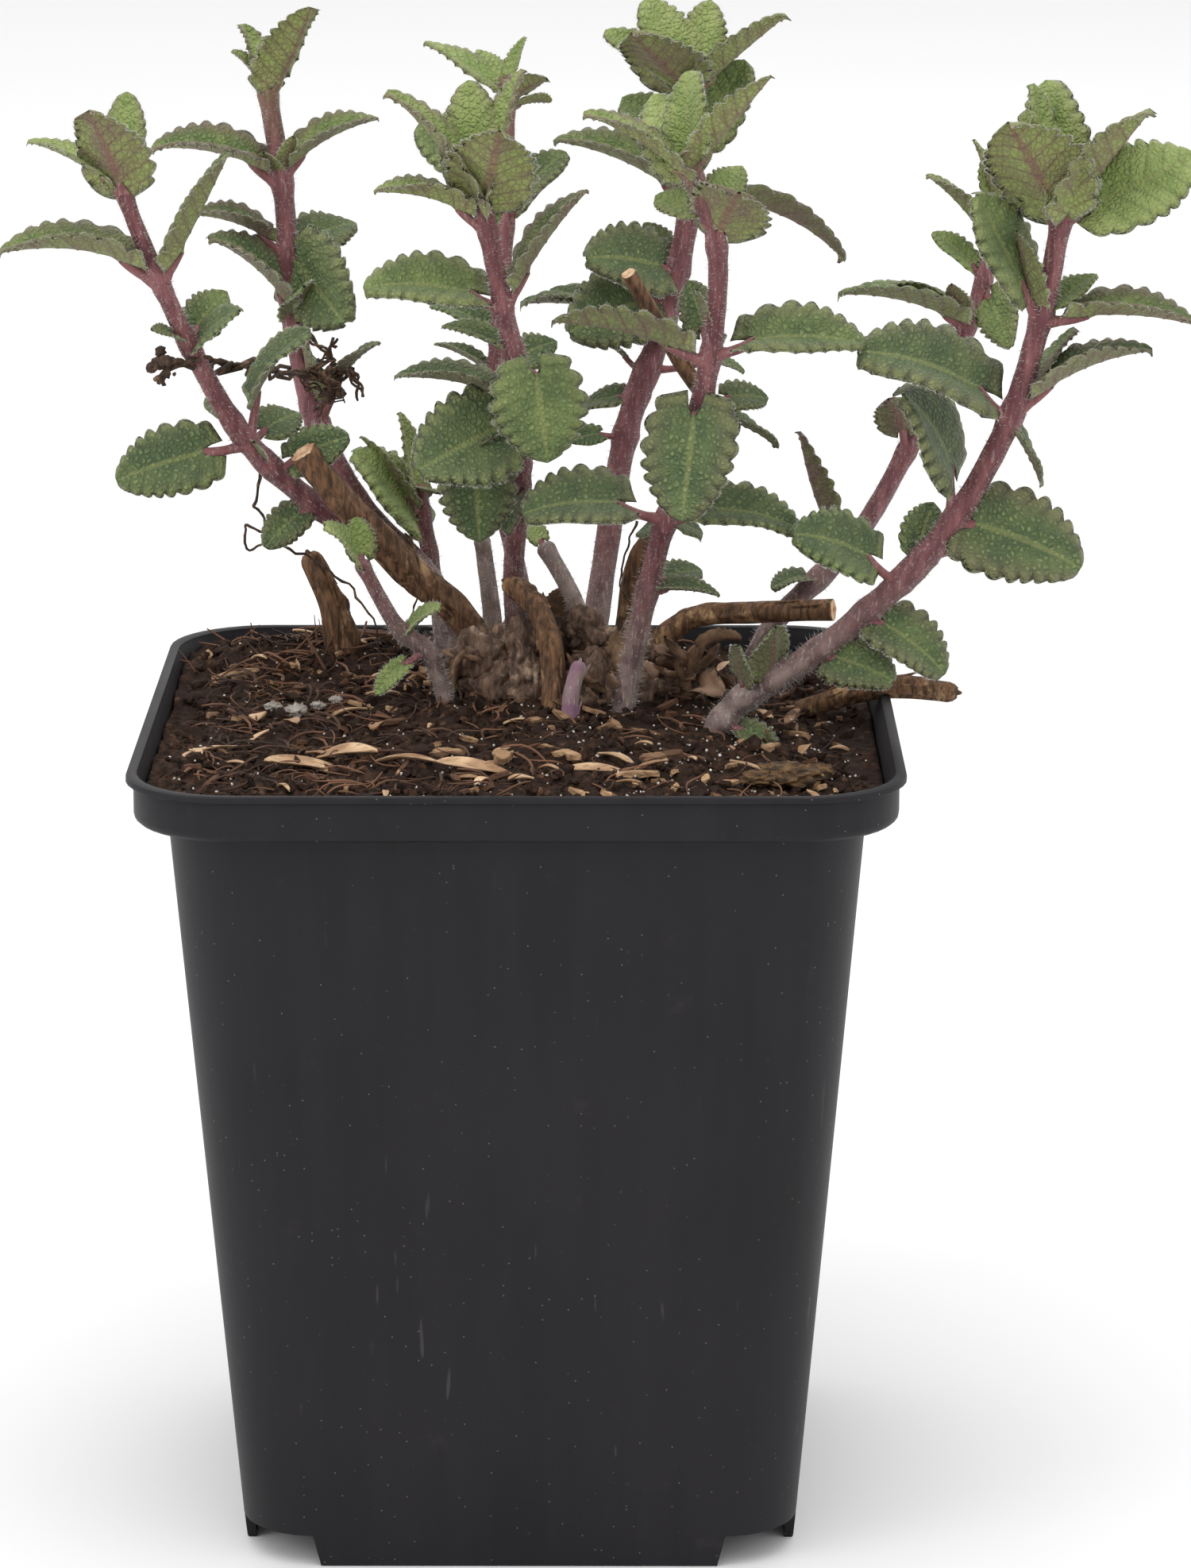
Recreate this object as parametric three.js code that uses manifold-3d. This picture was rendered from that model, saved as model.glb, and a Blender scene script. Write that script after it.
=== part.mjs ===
// Potted catmint: a young herb in a square nine-centimetre nursery pot.
// Millimetres, +Z up. The plant is laid out about the pot's own axis, and at the
// end everything is shifted so that the origin is under the middle of the whole part.
import * as THREE from "three";
import { mergeVertices } from "three/addons/utils/BufferGeometryUtils.js";
import Module from "manifold-3d";

const wasm = await Module();
wasm.setup();

// Driving dimensions of the pot. "Half" is from the axis to the middle of a side.
const POT_HEIGHT = 97.9;
const LIP_HALF = 45;
const LIP_TALL = 0.9;
const LIP_WIDE = 1.3;
const BAND_HALF = 44.2;
const BAND_TALL = 5.8;
const BODY_TOP_HALF = 40.6;
const BODY_FOOT_HALF = 33.05;
const WALL = 1.1;
const CORNER_AT_LIP = 12;
const CORNER_AT_FOOT = 9;
const FOOT_TALL = 4.3;
const FLOOR_THICK = 1.2;
const TAB_HALF_LENGTH = 23.4;
const TAB_SLANT = 1.2;
const DRAIN_RADIUS = 4;
const DRAIN_OUT = 20;

// Fit: the space left between pieces that touch.
const GAP = 0.3;

// Soil and crown.
const SOIL_TOP = 96.2;
const SOIL_RISE = 2.2;
const SOIL_DROP_RIGHT = 1.9;
const SOIL_SHOULDER = 93.7;
const CROWN_CENTRE = [4, 15, 96.5];
const CROWN_RADII = [11.5, 10, 5.5];

// Leaves.
const LEAF_THICK = 0.7;
const LEAF_STATIONS = 6;
const PETIOLE_WIDTH = 0.9;

// Finishes.
const POT_PLASTIC = finish(0x2d2c30, 0.42);
const SOIL = finish(0x3b2a1f, 0.95);
const BARK = finish(0x6b5140, 0.9);
const STEM = finish(0x6d4048, 0.75);
const OLD_STEM = finish(0x7a6a66, 0.9);
const LEAF = finish(0x71865a, 0.8);
const CHIP = finish(0xb08a5c, 0.9);

function finish(colour, roughness) {
  return new THREE.MeshStandardMaterial({ color: colour, roughness: roughness, metalness: 0 });
}

const plant = new THREE.Group();

function add(name, geometry, material) {
  const mesh = new THREE.Mesh(geometry, material);
  mesh.name = name;
  plant.add(mesh);
}

// Booleans: a closed geometry to a solid and back.
function solid(geometry) {
  const bare = geometry.clone();
  bare.deleteAttribute("normal");
  bare.deleteAttribute("uv");
  const merged = mergeVertices(bare, 1e-4);
  const mesh = new wasm.Mesh({
    numProp: 3,
    vertProperties: new Float32Array(merged.attributes.position.array),
    triVerts: new Uint32Array(merged.index.array),
  });
  return new wasm.Manifold(mesh);
}

function geometryOf(body) {
  const mesh = body.getMesh();
  const geometry = new THREE.BufferGeometry();
  geometry.setAttribute("position", new THREE.BufferAttribute(mesh.vertProperties, 3));
  geometry.setIndex(new THREE.BufferAttribute(mesh.triVerts, 1));
  return geometry;
}

// Moves every vertex of a geometry by a rule of its own.
function reshape(geometry, rule) {
  const position = geometry.attributes.position;
  for (let i = 0; i < position.count; i += 1) {
    const point = new THREE.Vector3().fromBufferAttribute(position, i);
    const moved = rule(point, i);
    position.setXYZ(i, moved.x, moved.y, moved.z);
  }
  return geometry;
}

// A profile turned round the axis, then squared: each ring becomes a square with
// round corners. Profile points are [half width, height].
const CORNER_STEPS = 4;

function squared(profile) {
  const columns = 4 * (CORNER_STEPS + 1);
  const points = profile.map(([half, height]) => new THREE.Vector2(half, height));
  const lathe = new THREE.LatheGeometry(points, columns);
  return reshape(lathe, (point, i) => {
    const half = profile[i % profile.length][0];
    const height = profile[i % profile.length][1];
    const column = Math.floor(i / profile.length) % columns;
    const quarter = Math.floor(column / (CORNER_STEPS + 1));
    const step = column % (CORNER_STEPS + 1);
    const corner = Math.min(half, THREE.MathUtils.mapLinear(
      height, 0, POT_HEIGHT, CORNER_AT_FOOT, CORNER_AT_LIP));
    const x = half - corner + corner * Math.cos((Math.PI / 2) * (step / CORNER_STEPS));
    const y = half - corner + corner * Math.sin((Math.PI / 2) * (step / CORNER_STEPS));
    const turned = new THREE.Vector2(x, y).rotateAround(
      new THREE.Vector2(0, 0), (quarter * Math.PI) / 2);
    return new THREE.Vector3(turned.x, turned.y, height);
  });
}

// Half width of the pot's outer wall below the band.
function bodyHalf(height) {
  const top = POT_HEIGHT - BAND_TALL;
  return THREE.MathUtils.mapLinear(height, 0, top, BODY_FOOT_HALF, BODY_TOP_HALF);
}

// Pot: floor, tapering wall, band and lip in one moulding, standing on four tabs.
function potGeometry() {
  const bandFoot = POT_HEIGHT - BAND_TALL;
  const lipFoot = POT_HEIGHT - LIP_TALL;
  const floorTop = FOOT_TALL + FLOOR_THICK;
  const profile = [
    [0, FOOT_TALL],
    [bodyHalf(FOOT_TALL) - WALL, FOOT_TALL],
    [bodyHalf(0) - WALL, 0],
    [bodyHalf(0), 0],
    [bodyHalf(bandFoot), bandFoot],
    [BAND_HALF - 0.8, bandFoot + 0.2],
    [BAND_HALF, bandFoot + 1.2],
    [BAND_HALF, lipFoot],
    [LIP_HALF, lipFoot + 0.1],
    [LIP_HALF, POT_HEIGHT - 0.2],
    [LIP_HALF - 0.3, POT_HEIGHT],
    [LIP_HALF - LIP_WIDE, POT_HEIGHT],
    [BAND_HALF - WALL, bandFoot + 1.3],
    [bodyHalf(bandFoot) - WALL, bandFoot - 1.2],
    [bodyHalf(floorTop) - WALL, floorTop],
    [0, floorTop],
  ];
  let pot = solid(squared(profile));
  const reach = BODY_TOP_HALF;
  for (const sx of [-1, 1]) {
    for (const sy of [-1, 1]) {
      const notch = new THREE.BoxGeometry(1, 1, 1);
      reshape(notch, (point) => {
        const inner = TAB_HALF_LENGTH + (point.z > 0 ? TAB_SLANT : 0);
        const x = point.x * sx < 0 ? inner : reach;
        const y = point.y * sy < 0 ? inner : reach;
        return new THREE.Vector3(sx * x, sy * y, point.z > 0 ? FOOT_TALL - GAP : -GAP);
      });
      pot = pot.subtract(solid(notch));
    }
  }
  for (let i = 0; i < 8; i += 1) {
    const hole = new THREE.CylinderGeometry(DRAIN_RADIUS, DRAIN_RADIUS, 4 * FLOOR_THICK, 10);
    hole.rotateX(Math.PI / 2);
    const out = i % 2 === 0 ? DRAIN_OUT : DRAIN_OUT * 1.2;
    const turn = (i * Math.PI) / 4;
    hole.translate(out * Math.cos(turn), out * Math.sin(turn), FOOT_TALL);
    pot = pot.subtract(solid(hole));
  }
  return geometryOf(pot);
}

// Height of the soil: a low mound round the crown, sunk towards the right wall.
function soilHeight(x, y) {
  const away = (x - 3) ** 2 + (y - 12) ** 2;
  const mound = SOIL_RISE * Math.exp(-away / 500);
  const sunk = SOIL_DROP_RIGHT * THREE.MathUtils.smoothstep(x, 12, 40);
  return SOIL_TOP + mound - sunk;
}

// Half widths of the rings across the top, and the height over which the mix eases
// out into the band.
const SOIL_RINGS = [37, 31, 21, 11];
const SOIL_EASE = 2;

function soilGeometry(raise) {
  const foot = FOOT_TALL + FLOOR_THICK + GAP;
  const wallHalf = (height) => bodyHalf(height) - WALL - GAP;
  const bandFoot = POT_HEIGHT - BAND_TALL;
  const bandHalf = BAND_HALF - WALL - GAP;
  const profile = [
    [0, foot],
    [wallHalf(foot), foot],
    [wallHalf(bandFoot - SOIL_EASE), bandFoot - SOIL_EASE],
    [wallHalf(bandFoot) - GAP, bandFoot - SOIL_EASE / 2],
    [bandHalf, SOIL_SHOULDER],
    [bandHalf, SOIL_TOP],
    ...SOIL_RINGS.map((half) => [half, SOIL_TOP]),
    [0, SOIL_TOP],
  ];
  return reshape(squared(profile), (point) => {
    if (point.z > SOIL_SHOULDER) {
      point.z = soilHeight(point.x, point.y);
    }
    point.z += raise;
    return point;
  });
}

// Crown: the woody lump that the stems grow from, cut off at the soil.
function crownBody(grow) {
  const ball = new THREE.SphereGeometry(1, 14, 8);
  ball.rotateX(Math.PI / 2);
  ball.scale(CROWN_RADII[0] + grow, CROWN_RADII[1] + grow, CROWN_RADII[2] + grow);
  ball.translate(...CROWN_CENTRE);
  return solid(ball);
}

const soilCutter = solid(soilGeometry(GAP));
const crownCutter = crownBody(GAP);

// Stems: a tube along a smooth curve through its points [x, y, z], from root to tip.
function tube(points, radius, steps) {
  const curve = new THREE.CatmullRomCurve3(points.map((p) => new THREE.Vector3(...p)));
  const section = new THREE.Shape();
  const SIDES = 6;
  for (let i = 0; i < SIDES; i += 1) {
    const turn = (2 * Math.PI * i) / SIDES;
    const x = radius * Math.cos(turn);
    const y = radius * Math.sin(turn);
    if (i === 0) {
      section.moveTo(x, y);
    } else {
      section.lineTo(x, y);
    }
  }
  section.closePath();
  return new THREE.ExtrudeGeometry(section, { steps: steps, extrudePath: curve, curveSegments: 1 });
}

function rooted(geometry) {
  return geometryOf(solid(geometry).subtract(soilCutter).subtract(crownCutter));
}

const STEMS = {
  outer_left: {
    radius: 1.2,
    path: [[-4, 16, 97], [-10, 16, 108], [-17, 12, 115], [-25, 8, 121], [-33, 3, 130],
      [-39, -2, 142], [-44, -6, 155], [-46, -7, 161]],
  },
  left: {
    radius: 1.2,
    path: [[-7, 24, 93], [-11, 25, 107], [-20, 26, 117], [-26, 29, 128], [-29, 33, 142],
      [-30, 36, 155], [-32, 38, 168]],
  },
  centre: {
    radius: 1.1,
    path: [[0, 13, 98], [-1, 11, 111], [0, 3, 125], [0, -4, 138], [-2, -8, 149], [-4, -10, 160]],
  },
  slim: {
    radius: 0.9,
    path: [[2, 21, 98], [-1, 23, 111], [-4, 26, 126], [-3, 28, 139], [-2, 30, 155], [-2, 32, 169]],
  },
  tall: {
    radius: 1.3,
    path: [[8, 22, 97], [10, 28, 109], [13, 33, 126], [18, 36, 140], [21, 39, 155], [21, 41, 168]],
  },
  front: {
    radius: 1.1,
    path: [[12, 1, 95], [14, 0, 106], [17, -4, 120], [21, -9, 134], [23, -13, 147], [23, -15, 157],
      [20, -15, 165]],
  },
  right: {
    radius: 1.3,
    path: [[22, -4, 92], [26, -4, 99], [37, -6, 107], [49, -8, 119], [57, -10, 133], [61, -12, 147],
      [63, -14, 159]],
  },
  back_right: {
    radius: 1,
    path: [[27, 25, 92], [31, 25, 102], [41, 28, 112], [48, 32, 123], [56, 36, 139], [60, 40, 152]],
  },
  back_short: {
    radius: 0.8,
    path: [[-10, 28, 93], [-11, 28, 106], [-13, 28, 119]],
  },
  low_left: {
    radius: 0.9,
    path: [[-8, 5, 93], [-11, 4, 103], [-15, 3, 107], [-19, 1, 115]],
  },
  grey_back: {
    radius: 1.2,
    path: [[-3, 20, 97], [-4, 20, 106], [-5, 20, 114]],
  },
  grey_middle: {
    radius: 1.2,
    path: [[9, 10, 96], [7, 10, 107], [3, 11, 115]],
  },
};

// Dead wood left from the year before, each cut or snapped at its free end.
const DEAD_WOOD = {
  thick_cut_stick: {
    radius: 2,
    path: [[-5, 12, 97], [-9, 10, 108], [-19, 6, 119], [-26, 3, 128]],
  },
  long_cut_stick: {
    radius: 1,
    path: [[12, 29, 93], [14, 31, 109], [20, 28, 117], [24, 20, 128], [19, 15, 138], [13, 10, 149]],
  },
  level_cut_stick: {
    radius: 1.4,
    path: [[13, 14, 98], [20, 15, 105], [29, 11, 107], [38, 8, 108]],
  },
  bark_end: {
    radius: 1.3,
    path: [[35, 10, 94.5], [42, 7, 99], [52, 5, 98.5]],
  },
  snapped_stump: {
    radius: 1.3,
    path: [[-22, 27, 92], [-24, 27, 104], [-26, 27, 110]],
  },
  curved_stub: {
    radius: 1.3,
    path: [[3, -1, 92], [3, 1, 101], [2, 4, 108], [-1, 7, 112]],
  },
  purple_stub: {
    radius: 1,
    path: [[6, -3, 92], [6, -3, 99], [7, -2, 103]],
  },
};

// Leaves. A row is: height on its stem, heading (0 is right, 90 is away, 180 is left),
// rise of the leaf stalk above level, stalk length, blade length, blade width over
// length, roll about its own length, fold of each half up from flat, and curl from
// base to tip. A hanging leaf has one more: how far its blade bends down where it
// joins the stalk. Angles are in degrees.
const LEAVES = {
  outer_left: [
    [161, 235, 65, 1.5, 10, 0.85, 20, 25, 10],
    [157, 150, 40, 3, 10, 0.5, 0, 35, 35],
    [150, 185, 35, 5, 14.5, 0.62, -5, 45, 60],
    [150, 0, 60, 4, 13, 0.6, -5, 45, -5],
    [130, 195, -10, 5, 11, 0.72, -60, 12, 10],
    [130, 345, 80, 6, 10, 0.7, 25, 30, 60],
  ],
  left: [
    [167, 330, 55, 2, 10.5, 0.75, -10, 45, -15],
    [156, 185, 40, 4.5, 12.5, 0.62, -8, 45, 60],
    [157, 10, 50, 3.5, 10.5, 0.62, 10, 45, 50],
    [148, 310, -35, 1.5, 11.5, 0.85, 75, 10, 0],
    [138, 200, 60, 5, 11.5, 0.75, -15, 40, 60],
  ],
  centre: [
    [160, 290, 55, 1.5, 10, 0.95, -25, 20, 0],
    [156, 165, 55, 1.5, 15.5, 0.5, -5, 40, 20],
    [148, 0, 60, 4.5, 12, 0.58, 5, 45, 15],
    [141, 305, -15, 4, 10.5, 0.98, 10, 8, 10, 60],
    [134, 210, -20, 2.5, 12, 0.9, -60, 25, 0],
  ],
  slim: [
    [168, 185, 35, 1.5, 10, 0.6, -20, 25, 5],
  ],
  tall: [
    [167, 355, 40, 2, 12.5, 0.75, -5, 40, 0],
    [167, 220, 40, 2, 10, 0.95, 25, 18, 0],
    [153, 185, 50, 4, 15, 0.55, -8, 45, 55],
    [153, 5, 10, 6, 15.5, 0.55, -10, 40, 75],
  ],
  front: [
    [165, 100, 75, 2, 9, 0.78, -60, 22, 5],
    [142, 190, 25, 5, 14, 0.6, 15, 42, 25],
    [143, 350, 20, 5, 13, 0.62, 30, 35, 40],
    [136, 255, 0, 2.5, 12.5, 0.8, 0, 20, 10, 68],
    [122, 350, 15, 5, 11, 0.65, 30, 30, 50],
  ],
  right: [
    [159, 350, 55, 2, 14, 0.85, -8, 35, 5],
    [147, 205, 60, 5, 12, 0.85, -55, 22, 0],
    [147, 355, 10, 5, 13, 0.6, 0, 45, 30],
    [136, 355, 40, 5, 12.5, 0.62, 5, 45, 40],
    [135, 195, 45, 5, 15.5, 0.7, -35, 28, 50],
    [123, 345, -10, 2, 13.5, 0.75, 60, 18, 20],
    [115, 200, 40, 5, 10, 0.8, -55, 18, 40],
  ],
  back_right: [
    [138, 190, 35, 3, 14, 0.65, 0, 35, 45],
  ],
  back_short: [
    [111, 195, 65, 4, 12, 0.8, -30, 25, 30],
  ],
};

// Where a stem's curve is at a given height.
function stemPoint(stem, height) {
  const curve = new THREE.CatmullRomCurve3(stem.path.map((p) => new THREE.Vector3(...p)));
  let best = curve.getPoint(0);
  for (let i = 1; i <= 200; i += 1) {
    const point = curve.getPoint(i / 200);
    if (Math.abs(point.z - height) < Math.abs(best.z - height)) {
      best = point;
    }
  }
  return best;
}

// Half width of the blade at a share of its length: a heart-shaped base, widest at a
// third, closing to a blunt tip.
function bladeHalfWidth(share, width) {
  const swell = Math.sin(Math.PI * share ** 0.62) ** 0.8;
  return 0.5 * width * swell + 0.5 * PETIOLE_WIDTH * (1 - 0.7 * share);
}

// One leaf as a thin slab, laid along its stalk and bent, folded and rolled.
function leafGeometry(stem, row) {
  const [height, headingDeg, riseDeg, stalk, blade, ratio, rollDeg, foldDeg, curlDeg, dropDeg = 0] = row;
  const angles = [headingDeg, riseDeg, rollDeg, foldDeg, curlDeg, dropDeg];
  const [heading, rise, roll, fold, curl, drop] = angles.map(THREE.MathUtils.degToRad);
  const start = stem.radius + 2 * GAP;
  const root = stemPoint(stem, height);
  const out = new THREE.Vector3(Math.cos(heading), Math.sin(heading), 0);
  const up = new THREE.Vector3(0, 0, 1);
  const stations = [0, stalk];
  for (let i = 1; i <= LEAF_STATIONS; i += 1) {
    stations.push(stalk + (blade * i) / LEAF_STATIONS);
  }
  const slab = new THREE.BoxGeometry(2, stations.length - 1, 1, 2, stations.length - 1, 1);
  return reshape(slab, (point) => {
    const index = Math.round(point.y + (stations.length - 1) / 2);
    const along = stations[index];
    const share = Math.max(0, (along - stalk) / blade);
    const angle = rise - (share > 0 ? drop : 0) - curl * share;
    const centre = root.clone();
    centre.addScaledVector(out, start + Math.min(along, stalk) * Math.cos(rise));
    centre.addScaledVector(up, Math.min(along, stalk) * Math.sin(rise));
    const halfTurn = rise - drop - (curl * share) / 2;
    centre.addScaledVector(out, blade * share * Math.cos(halfTurn));
    centre.addScaledVector(up, blade * share * Math.sin(halfTurn));
    const tangent = out.clone().multiplyScalar(Math.cos(angle)).addScaledVector(up, Math.sin(angle));
    const side = new THREE.Vector3(-out.y, out.x, 0).applyAxisAngle(tangent, roll);
    const face = tangent.clone().cross(side);
    const half = share > 0 ? bladeHalfWidth(share, blade * ratio) : PETIOLE_WIDTH / 2;
    const lift = share > 0 ? fold : 0;
    centre.addScaledVector(side, -point.x * half * Math.cos(lift));
    centre.addScaledVector(face, Math.abs(point.x) * half * Math.sin(lift));
    centre.addScaledVector(face, point.z * LEAF_THICK);
    return centre;
  });
}

// Bark chips pressed flat on the soil: middle, long way, size.
const CHIPS = [
  { at: [-26, -12], turn: 20, size: [10, 4, 1] },
  { at: [11, -26], turn: -5, size: [9, 3, 1.2] },
];

// How far a chip's underside stands clear of the mix.
const CHIP_LIFT = 0.5;

function chipGeometry(chip) {
  const block = new THREE.BoxGeometry(...chip.size);
  block.rotateZ(THREE.MathUtils.degToRad(chip.turn));
  const lift = soilHeight(...chip.at) + CHIP_LIFT + chip.size[2] / 2;
  block.translate(chip.at[0], chip.at[1], lift);
  return block;
}

add("pot", potGeometry(), POT_PLASTIC);
add("potting_soil", soilGeometry(0), SOIL);
add("crown", geometryOf(crownBody(0).subtract(soilCutter)), BARK);
for (const [name, stem] of Object.entries(STEMS)) {
  const steps = 2 * stem.path.length;
  const bark = name.startsWith("grey") ? OLD_STEM : STEM;
  add(`stem_${name}`, rooted(tube(stem.path, stem.radius, steps)), bark);
}
for (const [name, stick] of Object.entries(DEAD_WOOD)) {
  add(name, rooted(tube(stick.path, stick.radius, 2 * stick.path.length)), BARK);
}
for (const [name, rows] of Object.entries(LEAVES)) {
  rows.forEach((row, i) => {
    add(`leaf_${name}_${i + 1}`, leafGeometry(STEMS[name], row), LEAF);
  });
}
CHIPS.forEach((chip, i) => {
  add(`bark_chip_${i + 1}`, chipGeometry(chip), CHIP);
});

// Origin under the middle of the whole part.
const whole = new THREE.Group();
whole.add(plant);
const bounds = new THREE.Box3().setFromObject(plant, true);
const middle = bounds.getCenter(new THREE.Vector3());
plant.position.set(-middle.x, -middle.y, -bounds.min.z);

export default whole;
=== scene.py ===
import math
import random

import bmesh
import bpy
import numpy as np
from mathutils import Euler, Matrix, Vector, noise


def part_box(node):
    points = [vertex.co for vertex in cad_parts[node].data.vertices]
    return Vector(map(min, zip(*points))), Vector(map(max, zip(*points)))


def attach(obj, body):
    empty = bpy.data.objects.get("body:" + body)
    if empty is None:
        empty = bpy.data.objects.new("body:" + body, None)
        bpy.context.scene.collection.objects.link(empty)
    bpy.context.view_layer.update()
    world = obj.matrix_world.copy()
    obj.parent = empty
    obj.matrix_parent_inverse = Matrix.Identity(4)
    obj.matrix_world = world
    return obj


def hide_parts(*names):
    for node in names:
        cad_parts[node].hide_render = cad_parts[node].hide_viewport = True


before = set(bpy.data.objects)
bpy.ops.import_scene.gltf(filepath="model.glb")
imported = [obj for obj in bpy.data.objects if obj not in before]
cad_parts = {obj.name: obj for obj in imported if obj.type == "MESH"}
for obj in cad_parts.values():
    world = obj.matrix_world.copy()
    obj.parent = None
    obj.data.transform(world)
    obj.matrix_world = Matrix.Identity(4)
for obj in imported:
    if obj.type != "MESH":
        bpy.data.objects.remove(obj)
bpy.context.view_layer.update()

# ---- Where everything is, the floor it stands on and the light ----
# The plant is laid out in millimetres from the foot of the pot's own axis, and the
# frame says where that axis is. The floor is one plain pale sheet, in soft light.
MM = 0.001
POT_LOW, POT_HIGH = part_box("pot")
POT_FOOT = Vector(((POT_LOW.x + POT_HIGH.x) / 2, (POT_LOW.y + POT_HIGH.y) / 2, POT_LOW.z))
FLOOR_HALF = 6.0
FLOOR_COLOUR = (0.86, 0.86, 0.86, 1)


def at(x, y, z):
    """A place given in millimetres from the foot of the pot's axis, as metres in the frame."""
    return POT_FOOT + Vector((x, y, z)) * MM


def to_frame(places):
    """The same for a whole array of places."""
    return np.asarray(places, float) * MM + np.array(POT_FOOT)


class Value:
    """One socket of a finish, so that shader maths can be written as plain sums."""

    def __init__(self, finish, socket):
        self.finish = finish
        self.socket = socket

    def sum(self, operation, first, second):
        return self.finish.node("ShaderNodeMath", {"operation": operation}, {0: first, 1: second})

    def __add__(self, other):
        return self.sum("ADD", self, other)

    def __radd__(self, other):
        return self.sum("ADD", other, self)

    def __sub__(self, other):
        return self.sum("SUBTRACT", self, other)

    def __rsub__(self, other):
        return self.sum("SUBTRACT", other, self)

    def __mul__(self, other):
        return self.sum("MULTIPLY", self, other)

    def __rmul__(self, other):
        return self.sum("MULTIPLY", other, self)

    def __truediv__(self, other):
        return self.sum("DIVIDE", self, other)

    def __pow__(self, other):
        return self.sum("POWER", self, other)


class Finish:
    """A material under construction, with one shader and the nodes that feed it."""

    def __init__(self, name, **constants):
        self.material = bpy.data.materials.new(name)
        self.material.use_nodes = True
        self.tree = self.material.node_tree
        self.shader = self.tree.nodes["Principled BSDF"]
        for socket, value in constants.items():
            label = socket.replace("_", " ").title().replace("Ior", "IOR")
            self.shader.inputs[label].default_value = value

    def node(self, kind, settings, sockets, output=0):
        made = self.tree.nodes.new(kind)
        for setting, value in settings.items():
            setattr(made, setting, value)
        for socket, value in sockets.items():
            if isinstance(value, Value):
                self.tree.links.new(value.socket, made.inputs[socket])
            else:
                made.inputs[socket].default_value = value
        return Value(self, made.outputs[output])

    def object_place(self):
        return self.node("ShaderNodeTexCoord", {}, {}, "Object")

    def attribute(self, name, output="Vector"):
        return self.node("ShaderNodeAttribute", {"attribute_name": name}, {}, output)

    def part_of(self, vector, axis):
        return self.node("ShaderNodeSeparateXYZ", {}, {0: vector}, axis)

    def mapped(self, vector, scale, turn=(0, 0, 0)):
        return self.node("ShaderNodeMapping", {}, {
            "Vector": vector, "Scale": scale, "Rotation": turn})

    def noise(self, vector, scale, detail=3, roughness=0.55):
        return self.node("ShaderNodeTexNoise", {}, {
            "Vector": vector, "Scale": scale, "Detail": detail, "Roughness": roughness})

    def cells(self, vector, scale, feature="F1", output="Distance"):
        return self.node("ShaderNodeTexVoronoi", {"feature": feature}, {
            "Vector": vector, "Scale": scale}, output)

    def fade(self, value, start, end):
        """0 up to start and 1 from end on, with a soft step between them."""
        return self.node("ShaderNodeMapRange", {"interpolation_type": "SMOOTHSTEP"}, {
            "Value": value, "From Min": start, "From Max": end})

    def size_of(self, value):
        return self.node("ShaderNodeMath", {"operation": "ABSOLUTE"}, {0: value})

    def wave(self, value):
        return self.node("ShaderNodeMath", {"operation": "SINE"}, {0: value})

    def blend(self, factor, first, second):
        return self.node("ShaderNodeMix", {"data_type": "RGBA", "clamp_factor": True}, {
            0: factor, 6: first, 7: second}, 2)

    def relief(self, height, depth_mm, strength=1.0):
        """Feeds a height from 0 to 1 to the shader's normal as a real depth."""
        normal = self.node("ShaderNodeBump", {}, {
            "Height": height, "Distance": depth_mm * MM, "Strength": strength})
        self.feed("Normal", normal)

    def feed(self, socket, value):
        self.tree.links.new(value.socket, self.shader.inputs[socket])


def colour(red, green, blue):
    """A shader colour from the 0 to 255 values of a paint chart."""
    def linear(part):
        share = part / 255
        return share / 12.92 if share <= 0.04045 else ((share + 0.055) / 1.055) ** 2.4
    return (linear(red), linear(green), linear(blue), 1)


def piece(name, bm, finishes, smooth=True, body="root"):
    """Turns a bmesh into an object of the part, with its finishes, riding on a body."""
    bmesh.ops.recalc_face_normals(bm, faces=bm.faces[:])
    mesh = bpy.data.meshes.new(name)
    bm.to_mesh(mesh)
    bm.free()
    for polygon in mesh.polygons:
        polygon.use_smooth = smooth
    for finish in finishes:
        mesh.materials.append(finish.material)
    made = bpy.data.objects.new(name, mesh)
    bpy.context.scene.collection.objects.link(made)
    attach(made, body)
    return made


floor_mesh = bmesh.new()
bmesh.ops.create_grid(floor_mesh, x_segments=1, y_segments=1, size=FLOOR_HALF)
floor_data = bpy.data.meshes.new("studio_floor")
floor_mesh.to_mesh(floor_data)
floor_mesh.free()
floor = bpy.data.objects.new("studio_floor", floor_data)
bpy.context.scene.collection.objects.link(floor)
floor_finish = Finish("studio_floor", roughness=0.9)
floor_finish.shader.inputs["Base Color"].default_value = FLOOR_COLOUR
floor_data.materials.append(floor_finish.material)

EYE = at(10.6, -643.1, 251.6)
LOOK_AT = at(9.05, 0, 88.1)
camera_data = bpy.data.cameras.new("camera")
camera_data.lens = 125.5
camera_data.sensor_width = 36
camera = bpy.data.objects.new("camera", camera_data)
camera.location = EYE
camera.rotation_euler = (LOOK_AT - EYE).to_track_quat("-Z", "Y").to_euler()
bpy.context.scene.collection.objects.link(camera)
bpy.context.scene.camera = camera

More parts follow.
